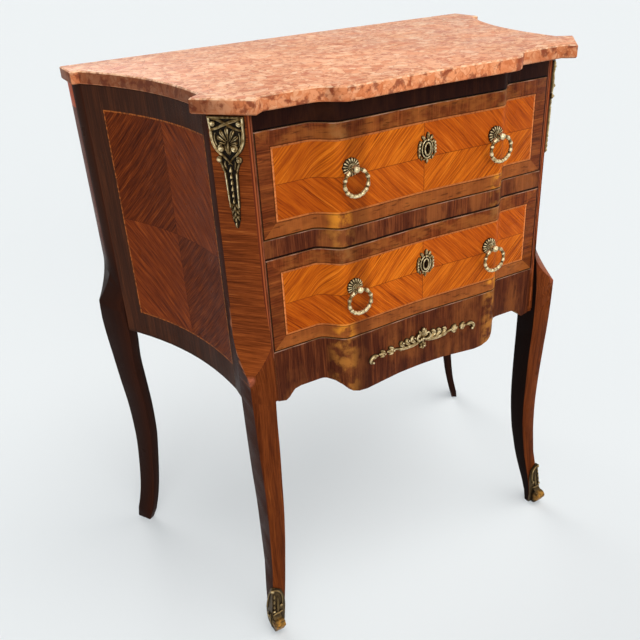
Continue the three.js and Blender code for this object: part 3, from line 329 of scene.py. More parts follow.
def drawer_veneer(name, low, high):
    """Quarter-matched panel with a light string and a darker mitred crossbanding."""
    t = Tree(name)
    middle = (low + high) / 2
    ax = t.absolute(t.x)
    dz = t.sub(t.z, middle)
    half_z = (high - low) / 2 - BANDING
    side, level, quarter, along, across, out_x, out_z = quarters(
        t, t.x, dz, PANEL_HALF, half_z, 1.7, 0.9)
    out = t.most(out_x, out_z)
    leaf = t.add(across, t.mul(quarter, 0.0016))
    streaks = grain(t, along, leaf, t.mul(quarter, 0.004), 1.0 + low)
    panel = wood_colour(t, streaks, BRIGHT, 0.66, 0.21)
    vein = t.noise(t.vec(t.mul(along, 14.0), t.mul(leaf, 420.0), t.add(quarter, low)), 1.0, 3.0)
    panel = t.paint(panel, t.step(vein, 0.30, 0.44, a=0.8, b=0.0), 98, 36, 10)
    tone = t.add(t.mul(side, level, -0.07), t.add(t.mul(side, -0.02), 0.98))
    panel = t.stain(panel, tone, t.mul(tone, tone), tone)
    glow = t.noise(t.pos, 9.0, 2.0)
    panel = t.paint(panel, t.step(glow, 0.35, 0.7, b=0.35), 160, 74, 24)
    # crossbanding, browner and more golden above and below than at the ends
    top_band = t.over(out_z, out_x)
    b_along = t.blend(top_band, t.x, t.z)
    b_across = t.blend(top_band, t.z, t.x)
    border = wood_colour(t, grain(t, b_along, b_across, t.y, 2.0 + low), BORDER, 0.45, 0.22)
    mottle = t.step(t.noise(t.vec(t.mul(t.x, 34.0), t.y, t.mul(t.z, 60.0)), 1.0, 4.0), 0.40, 0.66)
    border = t.paint(border, t.mul(mottle, t.blend(top_band, 0.2, 0.55)), 154, 90, 40)
    foot = t.mul(top_band, t.under(dz, 0.0))
    border = t.paint(border, t.mul(foot, 0.36), 176, 100, 46)
    scuff = t.noise(t.vec(t.mul(t.x, 60.0), t.y, t.mul(t.z, 260.0)), 1.0, 4.0, 0.6)
    border = t.paint(border, t.step(scuff, 0.54, 0.68, b=0.6), 58, 28, 15)
    worn = t.mul(t.band(ax, SHOULDER, 0.005, 0.013), t.patches(55.0, 4.0, 0.42, 0.6))
    worn = t.mul(worn, t.step(dz, -0.03, 0.03, a=0.95, b=0.5))
    border = t.mix(worn, border, t.paint(srgb(214, 136, 44), t.step(dz, -0.03, 0.03), 150, 102, 56))
    inside = t.fall(out, -0.0002, 0.0002)
    face = t.mix(inside, border, panel)
    pale_line = t.band(out, 0.0012, 0.0009, 0.0004)
    string_tone = t.noise(t.vec(t.mul(t.x, 300.0), t.mul(t.z, 300.0), t.y), 1.0, 3.0)
    pale_line = t.mul(pale_line, t.step(string_tone, 0.3, 0.6, a=0.3, b=0.85))
    face = t.paint(face, t.mul(pale_line, t.blend(top_band, 1.0, 0.5)), 226, 132, 70)
    face = t.paint(face, t.mul(t.band(out, 0.0028, 0.0004, 0.0005), 0.6), 52, 20, 10)
    # joints between the leaves
    joint = t.most(t.band(dz, 0.0, 0.00025, 0.0005), t.band(t.x, 0.0, 0.00025, 0.0005))
    face = t.paint(face, t.mul(joint, inside, 0.65), 84, 34, 12)
    face = t.paint(face, t.mul(t.step(t.x, -0.15, -0.13, a=0.24, b=0.0), inside), 120, 46, 14)
    # painted shade in the hollow beside the left shoulder
    face = t.paint(face, hollow_shade(t), 48, 20, 12)
    # painted shade darkens the sides and foot of the front beside the gaps, and its top edge is lit pale
    # by a painted highlight and rubbed pale in patches
    rim = t.most(t.sub(ax, FRONT_HALF), t.sub(low + 0.0019, t.z))
    face = t.paint(face, t.step(rim, 0.0, 0.0009, b=0.9), 18, 9, 7)
    lit_worn_lip = t.mul(t.step(t.z, high - 0.0011, high - 0.0005), t.patches(40.0, 3.0, 0.40, 0.62, a=0.15))
    face = t.paint(face, t.mul(lit_worn_lip, 0.7), 186, 146, 126)
    # painted shade: the inside of the keyhole is painted nearly black
    keyhole = high - KEY_DROP - 0.002
    hole = t.mul(t.band(t.x, KEY_SHIFT, 0.0044, 0.001), t.band(t.z, keyhole, 0.009, 0.001))
    return veneered(t, face, streaks, (t.x, t.z, t.y), t.fore, (0.25, 0.0005), 0.7,
                    (30.0, 0.26, 0.4), hole)


def side_veneer():
    """Quarter-matched panel in a dark frame with a fine string, on the hollow sides."""
    t = Tree("side_veneer_mat")
    y_mid, z_mid = 0.0105, 0.596
    half_y, half_z = 0.1085, 0.152
    dy = t.sub(t.y, y_mid)
    dz = t.sub(t.z, z_mid)
    side, level, quarter, along, across, out_y, out_z = quarters(t, dy, dz, half_y, half_z, 1.3, 0.7)
    out = t.most(out_y, out_z)
    leaf = t.add(across, t.mul(quarter, 0.002))
    streaks = grain(t, t.mul(along, 1.3), t.mul(leaf, 1.5), t.mul(quarter, 0.004), 4.0)
    panel = wood_colour(t, streaks, KING, 0.65, 0.17)
    # leaves on opposite corners take the light differently
    light = t.fall(t.mul(side, level), -0.5, 0.5)
    dim = t.blend(light, 0.72, 1.05)
    panel = t.stain(panel, dim, t.mul(dim, 0.97), t.mul(dim, 0.94))
    border = wood_colour(t, grain(t, t.z, t.y, t.x, 8.0), DARK, 0.5)
    inside = t.fall(out, -0.0002, 0.0002)
    border = t.stain(border, 0.70, 0.70, 0.72)
    border = t.paint(border, 0.4, 54, 41, 32)
    face = t.mix(inside, border, panel)
    dotted = t.patches(260.0, 2.0, 0.42, 0.58, a=0.25, b=0.95)
    face = t.paint(face, t.mul(t.band(out, 0.001, 0.0007, 0.0004), dotted), 176, 96, 42)
    joint = t.most(t.band(dz, 0.0, 0.0002, 0.0004), t.band(dy, 0.0, 0.0002, 0.0004))
    face = t.paint(face, t.mul(joint, inside, 0.5), 40, 18, 10)
    foot = t.step(t.z, 0.403, 0.409, a=0.6, b=0.0)
    face = t.paint(face, foot, 40, 26, 20)
    outward = t.mul(t.nx, t.sign(t.x))
    return veneered(t, face, streaks, (t.z, t.y, t.x), outward, (0.22, 0.0006), 0.72,
                    (26.0, 0.27, 0.42))


def stile_wood():
    """Posts and legs: cross grain on the canted faces, long grain elsewhere."""
    t = Tree("stile_mat")
    ax = t.absolute(t.x)
    outward = t.mul(t.nx, t.sign(t.x))
    length = math.hypot(*CHAMFER)
    facing = t.sub(t.mul(outward, CHAMFER[1] / length), t.mul(t.ny, CHAMFER[0] / length))
    level = t.math("SQRT", t.most(t.add(t.mul(t.nx, t.nx), t.mul(t.ny, t.ny)), 0.01))
    facing = t.math("DIVIDE", facing, level)
    front = t.under(t.y, 0.0)
    canted = t.mul(t.step(facing, 0.90, 0.955), t.step(t.z, *CANT_FOOT), front)
    across_face = t.add(t.mul(ax, 0.66), t.mul(t.y, 0.75))
    cross = grain(t, across_face, t.z, t.mul(t.sign(t.x), 0.1), 11.0)
    cross = wood_colour(t, cross, CANTED, 0.6, 0.17)
    tall = grain(t, t.z, t.blend(t.absolute(t.ny), t.y, t.x), t.mul(outward, 0.05), 13.0)
    long = wood_colour(t, tall, CANTED, 0.5, 0.2)
    shade = t.step(t.z, 0.05, 0.45, a=0.54, b=0.64)
    long = t.stain(long, shade, shade, shade)
    # painted shade darkens the side and inner faces, which are also duller than the front
    sideways = t.step(t.absolute(t.nx), 0.6, 0.9)
    long = t.paint(long, t.mul(sideways, 0.78), 42, 19, 13)
    inner = t.step(t.neg(outward), 0.5, 0.8)
    long = t.paint(long, t.mul(inner, 0.9), 15, 10, 9)
    rear = t.mul(t.step(t.y, 0.05, 0.1), sideways)
    long = t.paint(long, t.mul(rear, t.step(t.z, 0.50, 0.58, a=0.78, b=0.0)), 30, 17, 13)
    outer = t.mul(rear, t.step(t.y, 0.170, 0.174))
    long = t.paint(long, t.mul(rear, t.step(t.z, 0.50, 0.58, b=0.6)), 44, 30, 24)
    long = t.paint(long, t.mul(outer, t.step(t.z, 0.50, 0.58, b=0.7)), 112, 58, 42)
    mend = t.mul(t.over(t.z, MEND), t.under(t.x, 0.0))
    long = t.paint(long, t.mul(outer, mend, 0.85), 196, 84, 38)
    shaded = t.mul(t.step(t.y, 0.05, 0.1), t.step(t.fore, 0.5, 0.8))
    long = t.paint(long, t.mul(shaded, 0.85), 17, 12, 12)
    behind = t.mul(t.step(t.ny, 0.5, 0.8), 0.8)
    long = t.paint(long, behind, 40, 26, 18)
    # painted highlight: a pale line along the tongue's edges where the canted face dies into the leg
    tongue_highlight = t.mul(t.band(facing, 0.87, 0.05, 0.03), t.band(t.z, 0.487, 0.040, 0.010))
    long = t.paint(long, t.mul(tongue_highlight, front, 0.55), 186, 104, 60)
    # painted shade: the narrow strip between the canted face and the drawers is darkened
    beside = t.mul(t.step(t.z, 0.47, 0.49), t.mul(t.step(t.fore, 0.9, 0.97), front))
    long = t.paint(long, t.mul(beside, 0.5), 58, 22, 14)
    # painted highlight: a light line runs down the inner arris of the front face
    pale_line = t.mul(t.band(ax, POST_HIGHLIGHT, 0.0007, 0.0005), t.step(t.z, 0.40, 0.41))
    pale_line = t.mul(pale_line, front, t.step(t.fore, 0.9, 0.97))
    long = t.paint(long, t.mul(pale_line, 0.6), 176, 92, 52)
    # reddish strip beside it
    red = t.mul(t.step(ax, *POST_STRIP), t.step(t.fore, 0.9, 0.97), t.step(t.z, 0.45, 0.5))
    long = t.paint(long, t.mul(red, 0.25), 120, 48, 34)
    # painted highlight: a pale line along the arris beside the drawers, broken in patches
    lit_arris = t.mul(t.band(ax, POST_EDGE, 0.0006, 0.0005), t.mul(t.step(t.z, 0.46, 0.47), front))
    long = t.paint(long, t.mul(lit_arris, t.patches(50.0, 3.0, 0.3, 0.6, a=0.2, b=0.6)), 150, 84, 60)
    cross = t.paint(cross, t.mul(t.fall(t.z, 0.455, 0.505), 0.14), 188, 98, 38)
    colour = t.mix(canted, long, cross)
    # painted highlight: a broader pale band round the tongue at the knee
    tongue_sheen = t.mul(t.band(facing, 0.86, 0.07, 0.04), t.band(t.z, 0.480, 0.034, 0.012), t.mul(front, 0.5))
    colour = t.paint(colour, tongue_sheen, 196, 118, 74)
    # rubbed pale spot where the canted face runs out over the knee
    spot = t.near(KNEE, 0.003, 0.010)
    spot = t.mul(spot, t.patches(220.0, 3.0, 0.38, 0.6, a=0.4))
    colour = t.paint(colour, t.mul(spot, 0.6), 190, 108, 84)
    # scattered dents
    dents = t.cells(t.vec(ax, t.y, t.mul(t.z, 0.5)), 95.0)
    dent = t.mul(t.fall(dents["Distance"], 0.06, 0.10), t.patches(18.0, 1.0, 0.55, 0.6))
    colour = t.paint(colour, t.mul(dent, 0.55), 44, 22, 14)
    normal = t.bump(relief_height(t, tall), 0.22, 0.0006)
    rough = t.patches(30.0, 3.0, 0.3, 0.7, a=0.27, b=0.42)
    rough = t.blend(t.most(inner, t.step(t.ny, 0.5, 0.8)), rough, 0.62)
    return t.finish(colour, rough, normal, **POLISH)


def rail_wood():
    """Rails and apron: dark upright cross grain with worn, yellowish patches."""
    t = Tree("dark_rail_mat")
    ax = t.absolute(t.x)
    streaks = grain(t, t.z, t.x, t.y, 17.0)
    colour = wood_colour(t, streaks, DARK, 0.5, 0.22)
    patch = t.step(t.noise(t.vec(t.mul(t.x, 30.0), t.y, t.mul(t.z, 14.0)), 1.0, 4.0), 0.46, 0.68)
    colour = t.paint(colour, t.mul(patch, 0.5), 146, 84, 42)
    scuff = t.noise(t.vec(t.mul(t.x, 150.0), t.y, t.mul(t.z, 60.0)), 1.0, 4.0, 0.6)
    colour = t.paint(colour, t.step(scuff, 0.54, 0.68, b=0.45), 52, 24, 16)
    level = t.step(t.z, 0.50, 0.56, a=0.92, b=1.13)
    colour = t.stain(colour, level, level, level)
    below = t.fall(t.z, 0.70, 0.74)
    shoulder = t.mul(t.band(ax, SHOULDER, 0.006, 0.018), t.patches(60.0, 4.0, 0.42, 0.64))
    colour = t.paint(colour, t.mul(shoulder, below, 0.65), 178, 116, 50)
    # painted shade in the hollow beside the left shoulder
    colour = t.paint(colour, hollow_shade(t), 40, 20, 14)
    # painted shade: the top rail under the marble's overhang is darkened almost to black
    colour = t.paint(colour, t.step(t.z, 0.752, 0.757, b=0.9), 24, 11, 10)
    # painted shade along the lower edges, and the upper edges lit pale by a painted highlight and rubbed
    # pale in patches
    upper, lower = DRAWERS["upper"][1], DRAWERS["lower"][1]
    gap = t.fall(t.z, upper + 0.0023, upper + 0.0030)
    gap = t.mul(gap, t.step(t.z, 0.70, 0.71))
    under = t.mul(t.fall(t.z, lower + 0.0027, lower + 0.0035), t.step(t.z, 0.55, 0.56))
    colour = t.paint(colour, t.mul(t.most(gap, under), 0.92), 14, 7, 6)
    rail_top, apron_top = DRAWERS["upper"][0] - 0.0007, DRAWERS["lower"][0] - 0.0007
    lit_worn_lip = t.most(t.band(t.z, rail_top, 0.0005, 0.0005), t.band(t.z, apron_top, 0.0006, 0.0005))
    lit_worn_lip = t.mul(lit_worn_lip, t.patches(40.0, 3.0, 0.40, 0.62, a=0.15))
    colour = t.paint(colour, t.mul(lit_worn_lip, 0.7), 182, 142, 124)
    return veneered(t, colour, streaks, (t.x, t.z, t.y), t.fore, (0.22, 0.0005), 0.7,
                    (28.0, 0.26, 0.42))


def oak_wood(name, axis):
    """Dry secondary wood whose grain runs along one axis."""
    t = Tree(name)
    order = {"x": (t.x, t.z, t.y), "y": (t.y, t.z, t.x)}[axis]
    streaks = grain(t, *order, 21.0)
    colour = wood_colour(t, streaks, OAK, 0.5)
    dirt = t.patches(12.0, 4.0, 0.45, 0.75, b=0.45)
    colour = t.paint(colour, dirt, 96, 66, 40)
    normal = t.bump(relief_height(t, streaks), 0.35, 0.0006)
    return t.finish(colour, t.patches(40.0, 2.0, 0.3, 0.7, a=0.6, b=0.8), normal)


# ---------------------------------------------------------------- stone and metals

NODULE = [(0.0, 216, 142, 108), (0.3, 241, 180, 146), (0.7, 250, 202, 172), (1.0, 254, 222, 198)]
PEBBLE = [(0.0, 204, 130, 98), (0.5, 243, 186, 152), (1.0, 253, 216, 188)]
GILT = [(0.0, 22, 16, 10), (0.35, 66, 51, 29), (0.72, 142, 117, 74), (1.0, 230, 212, 168)]
STEEL = [(0.3, 74, 70, 66), (0.7, 128, 122, 114)]

def marble():
    """Pink brecciated marble: rounded pale nodules in a redder, browner ground."""
    t = Tree("marble_mat")
    wander = t.noise(t.pos, 34.0, 3.0, colour=True)
    reach = (0.022, 0.022, 0.022)
    bent = t.node("VectorMath", (wander, reach, t.pos), operation="MULTIPLY_ADD").outputs[0]
    big = t.cells(bent, 74.0)
    edge = t.cells(bent, 74.0, "DISTANCE_TO_EDGE")
    small = t.cells(bent, 170.0)
    small_edge = t.cells(bent, 170.0, "DISTANCE_TO_EDGE")
    tint = t.split(big["Color"])
    nodule = t.ramp(tint[0], NODULE)
    tint2 = t.split(small["Color"])
    pebble = t.ramp(tint2[1], PEBBLE)
    patch = t.step(t.noise(bent, 40.0, 2.0), 0.42, 0.54)
    colour = t.mix(patch, nodule, pebble)
    broken = t.patches(60.0, 3.0, 0.34, 0.60, a=0.1, b=1.0)
    vein = t.mul(t.fall(edge["Distance"], 0.0, 0.075), broken)
    colour = t.paint(colour, t.mul(vein, 0.7), 172, 92, 64)
    vein2 = t.fall(small_edge["Distance"], 0.0, 0.11)
    vein2 = t.mul(vein2, patch, t.patches(110.0, 2.0, 0.38, 0.62))
    colour = t.paint(colour, t.mul(vein2, 0.65), 180, 98, 68)
    red = t.step(t.noise(bent, 26.0, 4.0), 0.56, 0.68)
    colour = t.paint(colour, t.mul(red, 0.45), 196, 106, 76)
    speck = t.patches(230.0, 2.0, 0.64, 0.70)
    colour = t.paint(colour, t.mul(speck, 0.5), 132, 66, 44)
    cloud = t.patches(6.0, 2.0, 0.3, 0.7, a=0.93, b=1.04)
    colour = t.stain(colour, t.mul(cloud, 0.97), t.mul(cloud, 0.81), t.mul(cloud, 0.65))
    # the edges are more orange and blotched dark; on the ends they are brown
    upward = t.step(t.nz, 0.75, 0.95)
    blotch = t.patches(70.0, 4.0, 0.50, 0.60)
    rim = t.paint(colour, 0.5, 200, 116, 66)
    rim = t.paint(rim, t.mul(blotch, 0.75), 116, 46, 30)
    rim = t.paint(rim, t.step(t.absolute(t.nx), 0.6, 0.9, b=0.66), 96, 46, 28)
    # painted shade: the edges darken towards both ends
    far = t.step(t.absolute(t.x), 0.08, 0.22, a=1.0, b=0.84)
    rim = t.stain(rim, far, t.mul(far, 0.98), t.mul(far, 0.97))
    # painted highlight along the bevel between the top and the edges, with pale chips in patches
    lit_arris = t.mul(t.step(t.nz, 0.25, 0.5), t.fall(t.nz, 0.85, 0.97))
    chip = t.patches(130.0, 3.0, 0.45, 0.6)
    rim = t.paint(rim, t.mul(lit_arris, t.blend(chip, 0.2, 0.75)), 250, 208, 170)
    colour = t.mix(upward, rim, colour)
    under = t.step(t.neg(t.nz), 0.7, 0.95)
    colour = t.paint(colour, under, 120, 92, 76)
    normal = t.bump(t.noise(t.pos, 320.0, 3.0), 0.10, 0.0004)
    rough = t.blend(upward, 0.48, t.patches(20.0, 3.0, 0.3, 0.7, a=0.20, b=0.34))
    return t.finish(colour, rough, normal, Specular_IOR_Level=0.05)


def bronze(name, cover, level=1.0):
    """Old gilt bronze: dark in its hollows, rubbed pale on its crests."""
    t = Tree(name)
    if cover == "relief":
        crest = t.node("Attribute", attribute_name="crest").outputs["Fac"]
        if level < 1.0:
            crest = t.mul(crest, crest)
    elif cover == "pull":
        crest = t.step(t.sub(FACE_IN, t.y), 0.0010, 0.0065)
    else:
        hidden = t.node("AmbientOcclusion", {"Distance": 0.006}, samples=8)
        crest = t.mul(t.step(hidden.outputs["AO"], 0.25, 1.0), 0.42)
    wear = t.patches(240.0, 3.0, 0.3, 0.7)
    tone = t.mul(crest, t.blend(wear, 0.78 * level, 1.08 * level))
    body = t.ramp(tone, GILT)
    tarnish = t.patches(70.0, 4.0, 0.50, 0.74)
    body = t.paint(body, t.mul(tarnish, 0.35), 84, 62, 32)
    if cover == "open":
        # the rolled toes are rubbed golden
        gold = t.near(TOE, 0.009, 0.015)
        body = t.paint(body, t.mul(gold, t.blend(wear, 0.1, 0.95)), 176, 124, 48)
    rough = t.blend(crest, 0.62, t.blend(wear, 0.26, 0.40))
    normal = t.bump(t.noise(t.pos, 900.0, 3.0), 0.22, 0.0003)
    return t.finish(body, rough, normal, Metallic=0.85)


def iron():
    """Dull lock steel."""
    t = Tree("steel_mat")
    body = t.ramp(t.noise(t.pos, 160.0, 4.0), STEEL)
    rust = t.patches(60.0, 4.0, 0.58, 0.72)
    body = t.paint(body, t.mul(rust, 0.5), 96, 62, 40)
    normal = t.bump(t.noise(t.pos, 500.0, 3.0), 0.2, 0.0003)
    return t.finish(body, t.patches(90.0, 3.0, 0.3, 0.7, a=0.4, b=0.62), normal, Metallic=0.9)


# ---------------------------------------------------------------- relief work


STRIP_SIDES = 7
LEAST = 0.02


class Relief:
    """Raised ornament, drawn in millimetres in its own flat frame."""

    def __init__(self):
        self.points = []
        self.faces = []

    def skin(self, rings, cap=True):
        """Joins closed rings of equal length, and closes the ends; each point is (u, v, w, crest)."""
        base = len(self.points)
        count = len(rings[0])
        for ring in rings:
            self.points.extend(point if len(point) > 3 else (*point, 0.0) for point in ring)
        for i in range(len(rings) - 1):
            for k in range(count):
                a = base + i * count + k
                b = base + i * count + (k + 1) % count
                self.faces.append((a, b, b + count, a + count))
        if cap:
            self.faces.append(tuple(base + k for k in reversed(range(count))))
            last = base + (len(rings) - 1) * count
            self.faces.append(tuple(last + k for k in range(count)))

    def plate(self, outline, low, high):
        self.skin([[(u, v, height) for u, v in outline] for height in (low, high)])

    def strip(self, rows, groove=0.0, base=0.0, smooth=4):
        """A raised leaf, bar or rail along rows of (u, v, width, height)."""
        rows = smooth_rows(rows, smooth, 2)
        rings = []
        for i, (u, v, width, height) in enumerate(rows):
            a = rows[max(i - 1, 0)]
            b = rows[min(i + 1, len(rows) - 1)]
            du, dv = b[0] - a[0], b[1] - a[1]
            size = math.hypot(du, dv) or 1.0
            nu, nv = -dv / size, du / size
            ring = []
            for k in range(STRIP_SIDES):
                s = -1 + 2 * k / (STRIP_SIDES - 1)
                lift = math.sqrt(max(1 - s * s, 0.0))
                lift *= 1 - groove * math.exp(-((s / 0.30) ** 2))
                ring.append((
                    u + nu * s * width / 2,
                    v + nv * s * width / 2,
                    base + height * lift,
                    max(lift, 0.0) ** 0.6 * (0.6 + 0.4 * min(height / 2.4, 1.0)),
                ))
            rings.append(ring)
        self.skin(rings)

    def petal(self, u, v, aim, far, stops, groove):
        """A leaf from (u, v), aim degrees from straight up; stops are (share of far, width, height)."""
        a = math.radians(aim)
        du, dv = math.sin(a) * far, math.cos(a) * far
        self.strip([(u + du * s, v + dv * s, width, height) for s, width, height in stops], groove)

    def tube(self, rows, sides=7, closed=False, smooth=4, marks=None):
        """A round bar along rows of (u, v, w, radius), its crest on its upper side or as marks say."""
        if not closed:
            rows = smooth_rows(rows, smooth, 1)
        count = len(rows)
        rings = []
        for i, (*middle, radius) in enumerate(rows):
            a = Vector(rows[(i - 1) % count if closed else max(i - 1, 0)][:3])
            b = Vector(rows[(i + 1) % count if closed else min(i + 1, count - 1)][:3])
            ahead = (b - a).normalized()
            side = ahead.cross(Vector((0, 0, 1)))
            side = side.normalized() if side.length > 1e-6 else Vector((1, 0, 0))
            rise = side.cross(ahead)
            ring = []
            for k in range(sides):
                turn = 2 * math.pi * k / sides
                q = Vector(middle) + (side * math.cos(turn) + rise * math.sin(turn)) * radius
                upper = 0.45 + 0.55 * math.sin(turn) * (1 if rise.z > 0 else -1)
                ring.append((*q, marks[i] if marks else upper))
            rings.append(ring)
        if closed:
            rings.append(rings[0])
        self.skin(rings, cap=not closed)

    def bead(self, u, v, w, across, along=None, high=None, turn=0.0):
        """A round or stretched bead; along and high default to across."""
        along = across if along is None else along
        high = across if high is None else high
        rings = []
        for i in range(1, 6):
            polar = math.pi * i / 6
            ring = []
            for k in range(9):
                angle = 2 * math.pi * k / 9
                a = across * math.sin(polar) * math.cos(angle)
                h = high * math.sin(polar) * math.sin(angle)
                l = along * math.cos(polar)
                ring.append((
                    u + a * math.cos(turn) - l * math.sin(turn),
                    v + a * math.sin(turn) + l * math.cos(turn),
                    w + h,
                    0.55 + 0.5 * h / high,
                ))
            rings.append(ring)
        self.skin(rings)

    def spiral(self, u, v, start, turns, outer, inner, bar, lift, hand=1):
        """A volute that winds in from its outer end."""
        count = 22
        rows = []
        for i in range(count):
            s = i / (count - 1)
            angle = start + hand * 2 * math.pi * turns * s
            r = outer + (inner - outer) * s
            rows.append((u + r * math.cos(angle), v + r * math.sin(angle), lift + 0.5 * bar * s,
                         bar * (0.75 + 0.45 * s)))
        self.tube(rows, smooth=1)
        self.bead(u, v, lift + 0.3 * bar, bar * 1.5)

    def both(self, draw):
        """Draws once as written and once mirrored across u = 0."""
        first = Relief()
        draw(first)
        for sign in (1, -1):
            base = len(self.points)
            self.points.extend((sign * u, v, w, mark) for u, v, w, mark in first.points)
            for face in first.faces:
                order = face if sign > 0 else tuple(reversed(face))
                self.faces.append(tuple(base + k for k in order))


def smooth_rows(rows, steps, sizes):
    """Adds rows along a smooth curve through the given ones; the last values of each are sizes."""
    if steps <= 1:
        return rows
    out = []
    last = len(rows) - 1
    for i in range(last):
        near = rows[max(i - 1, 0)], rows[i], rows[i + 1], rows[min(i + 2, last)]
        for k in range(steps):
            s = k / steps
            out.append([
                0.5 * (2 * b + (c - a) * s + (2 * a - 5 * b + 4 * c - d) * s * s
                       + (3 * b - a - 3 * c + d) * s ** 3)
                for a, b, c, d in zip(*near)
            ])
    out.append(rows[last])
    return [[*row[:-sizes], *(max(size, LEAST) for size in row[-sizes:])] for row in out]


def make(name, relief, place, material, body, replaced=(), lift=1.0):
    """Turns relief into an object, laid on its carrier by place(u, v, w) in metres."""
    mesh = bpy.data.meshes.new(name)
    points = [place(u * MM, v * MM, w * MM * lift) for u, v, w, mark in relief.points]
    mesh.from_pydata(points, [], relief.faces)
    crest = mesh.attributes.new("crest", "FLOAT", "POINT")
    crest.data.foreach_set("value", [mark for u, v, w, mark in relief.points])
    tidy = bmesh.new()
    tidy.from_mesh(mesh)
    bmesh.ops.recalc_face_normals(tidy, faces=tidy.faces)
    tidy.to_mesh(mesh)
    tidy.free()
    for polygon in mesh.polygons:
        polygon.use_smooth = True
    mesh.set_sharp_from_angle(angle=math.radians(50))
    piece = bpy.data.objects.new(name, mesh)
    bpy.context.scene.collection.objects.link(piece)
    mesh.materials.append(material)
    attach(piece, body)
    if replaced:
        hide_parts(*replaced)
    return piece


def draw_chute(r):
    """Corner mount: crossed ribbons over a shell, twin volutes, a tapering husk chain, a leafy tip."""
    outline = [(22, 0), (22, -12.5), (20.6, -16), (20.4, -27), (17.6, -35.5), (12.0, -42.0),
               (9.8, -44.6), (14.6, -46.6), (15.2, -51.0), (12.0, -54.5), (9.6, -58.5), (7.8, -64),
               (6.8, -84), (6.0, -104), (5.6, -110), (4.6, -122), (1.6, -130.5)]
    whole = outline + [(0, -132)] + [(-u, v) for u, v in reversed(outline)]
    r.plate(whole, 0.0, 0.7)
    r.strip([(-22, -1.5, 3.4, 2.6), (0, -1.5, 3.4, 2.6), (22, -1.5, 3.4, 2.6)], 0.25)
    # ribbons that cross the top from corner to corner
    r.strip([(-19, -3.4, 3.0, 2.0), (-11, -4.8, 4.4, 2.5), (-3, -7.2, 4.6, 2.7),
             (5, -10.4, 4.6, 2.7), (13, -13.8, 4.2, 2.5), (19, -15.5, 3.0, 2.0)], 0.3)
    r.strip([(18, -3.4, 2.6, 1.6), (10, -4.6, 3.8, 2.0), (3, -7.6, 3.8, 2.1),
             (-4, -11.2, 3.8, 2.1), (-12, -14.6, 3.6, 1.9), (-18, -15.8, 2.6, 1.6)], 0.3)

    def half(h):
        h.strip([(20.2, -2, 3.4, 2.6), (20.2, -8, 3.4, 2.6), (19.8, -15, 3.0, 2.3)])
        h.spiral(15.8, -8.2, 0.6, 1.2, 3.2, 1.0, 1.1, 1.3, -1)
        h.strip([(19.6, -14.5, 3.4, 2.4), (19.3, -22, 4.2, 2.8), (18.2, -29, 4.6, 2.9),
                 (15.4, -35.6, 4.6, 2.9), (11.6, -40.6, 4.2, 2.8), (8.0, -44.2, 3.2, 2.3)], 0.3)
        h.strip([(14.6, -18.5, 1.0, 1.6), (15.6, -24, 1.5, 2.0), (14.6, -30.0, 1.5, 2.0),
                 (12.6, -34.0, 1.0, 1.4)])
        h.spiral(7.8, -35.6, 1.9, 1.3, 4.2, 1.2, 1.4, 1.5, -1)
        h.strip([(1.0, -43, 1.2, 1.4), (2.8, -38, 2.2, 2.2), (3.4, -34, 2.2, 2.0),
                 (5.6, -31.0, 1.0, 1.0)], 0.3)
        # neck: crossing bands, side scrolls and falling leaves
        h.strip([(9.2, -42.8, 2.2, 2.2), (5.4, -46, 2.4, 2.6), (1.2, -50.5, 2.2, 2.4),
                 (-2.4, -55, 1.2, 1.4)], 0.3)
        h.spiral(12.0, -48.6, 2.4, 1.3, 3.3, 1.0, 1.3, 1.4, -1)
        h.strip([(11.2, -52.2, 2.2, 2.2), (9.8, -56.4, 2.6, 2.6), (8.2, -61.0, 2.2, 2.4),
                 (6.9, -66, 1.8, 2.0)], 0.3)
        h.strip([(6.0, -50.4, 1.2, 1.4), (6.6, -54.0, 2.2, 2.3), (5.4, -58.6, 1.8, 2.0),
                 (4.2, -61.6, 0.7, 0.8)], 0.4)
        # long tapering frame
        h.strip([(7.0, -64, 2.7, 2.4), (6.4, -78, 2.6, 2.4), (5.9, -92, 2.5, 2.3),
                 (5.4, -105, 2.3, 2.1)])
        # leaf cluster at the tip
        for v, far in ((-104, 5.0), (-111, 4.8), (-118, 4.2)):
            h.strip([(0.6, v + 2.4, 1.2, 1.6), (far * 0.62, v + 0.2, 2.6, 2.7),
                     (far, v - 4.6, 0.8, 1.0)], 0.4)
            h.strip([(0.8, v + 3.0, 0.8, 1.2), (far * 0.9, v + 1.8, 1.6, 2.0),
                     (far + 0.4, v - 0.6, 0.6, 0.8)], 0.3)

    r.both(half)
    # shell of round-ended lobes
    for aim, far, wide in ((0, 19.0, 5.8), (27, 17.8, 5.6), (-27, 17.8, 5.6), (54, 15.4, 5.2),
                           (-54, 15.4, 5.2), (82, 11.6, 4.4), (-82, 11.6, 4.4)):
        stops = [(0.22, 1.0, 1.4), (0.55, wide * 0.6, 2.1), (0.82, wide, 2.7), (1.0, wide * 0.55, 1.6)]
        r.petal(0, -31.5, aim, far, stops, 0.55)
    r.strip([(0, -28, 1.0, 1.4), (0, -32, 3.0, 2.9), (0, -37, 3.2, 2.9), (0, -44, 1.0, 1.4)], 0.35)
    for i in range(6):
        v = -60.5 - 7.4 * i
        k = 1 - 0.05 * i
        r.strip([(0, v + 3.4, 1.0, 1.2), (0, v + 0.6, 3.2 * k, 2.3), (0, v - 2.0, 4.4 * k, 2.8),
                 (0, v - 3.4, 1.2, 1.2)], 0.2)
    for v in (-106, -113, -120):
        r.strip([(0, v + 2.6, 1.2, 1.8), (0, v - 1.0, 2.9, 3.1), (0, v - 5.6, 0.9, 1.2)], 0.4)
    r.strip([(0, -124, 2.2, 2.2), (0, -128, 2.6, 2.4), (0, -132, 0.5, 0.6)])


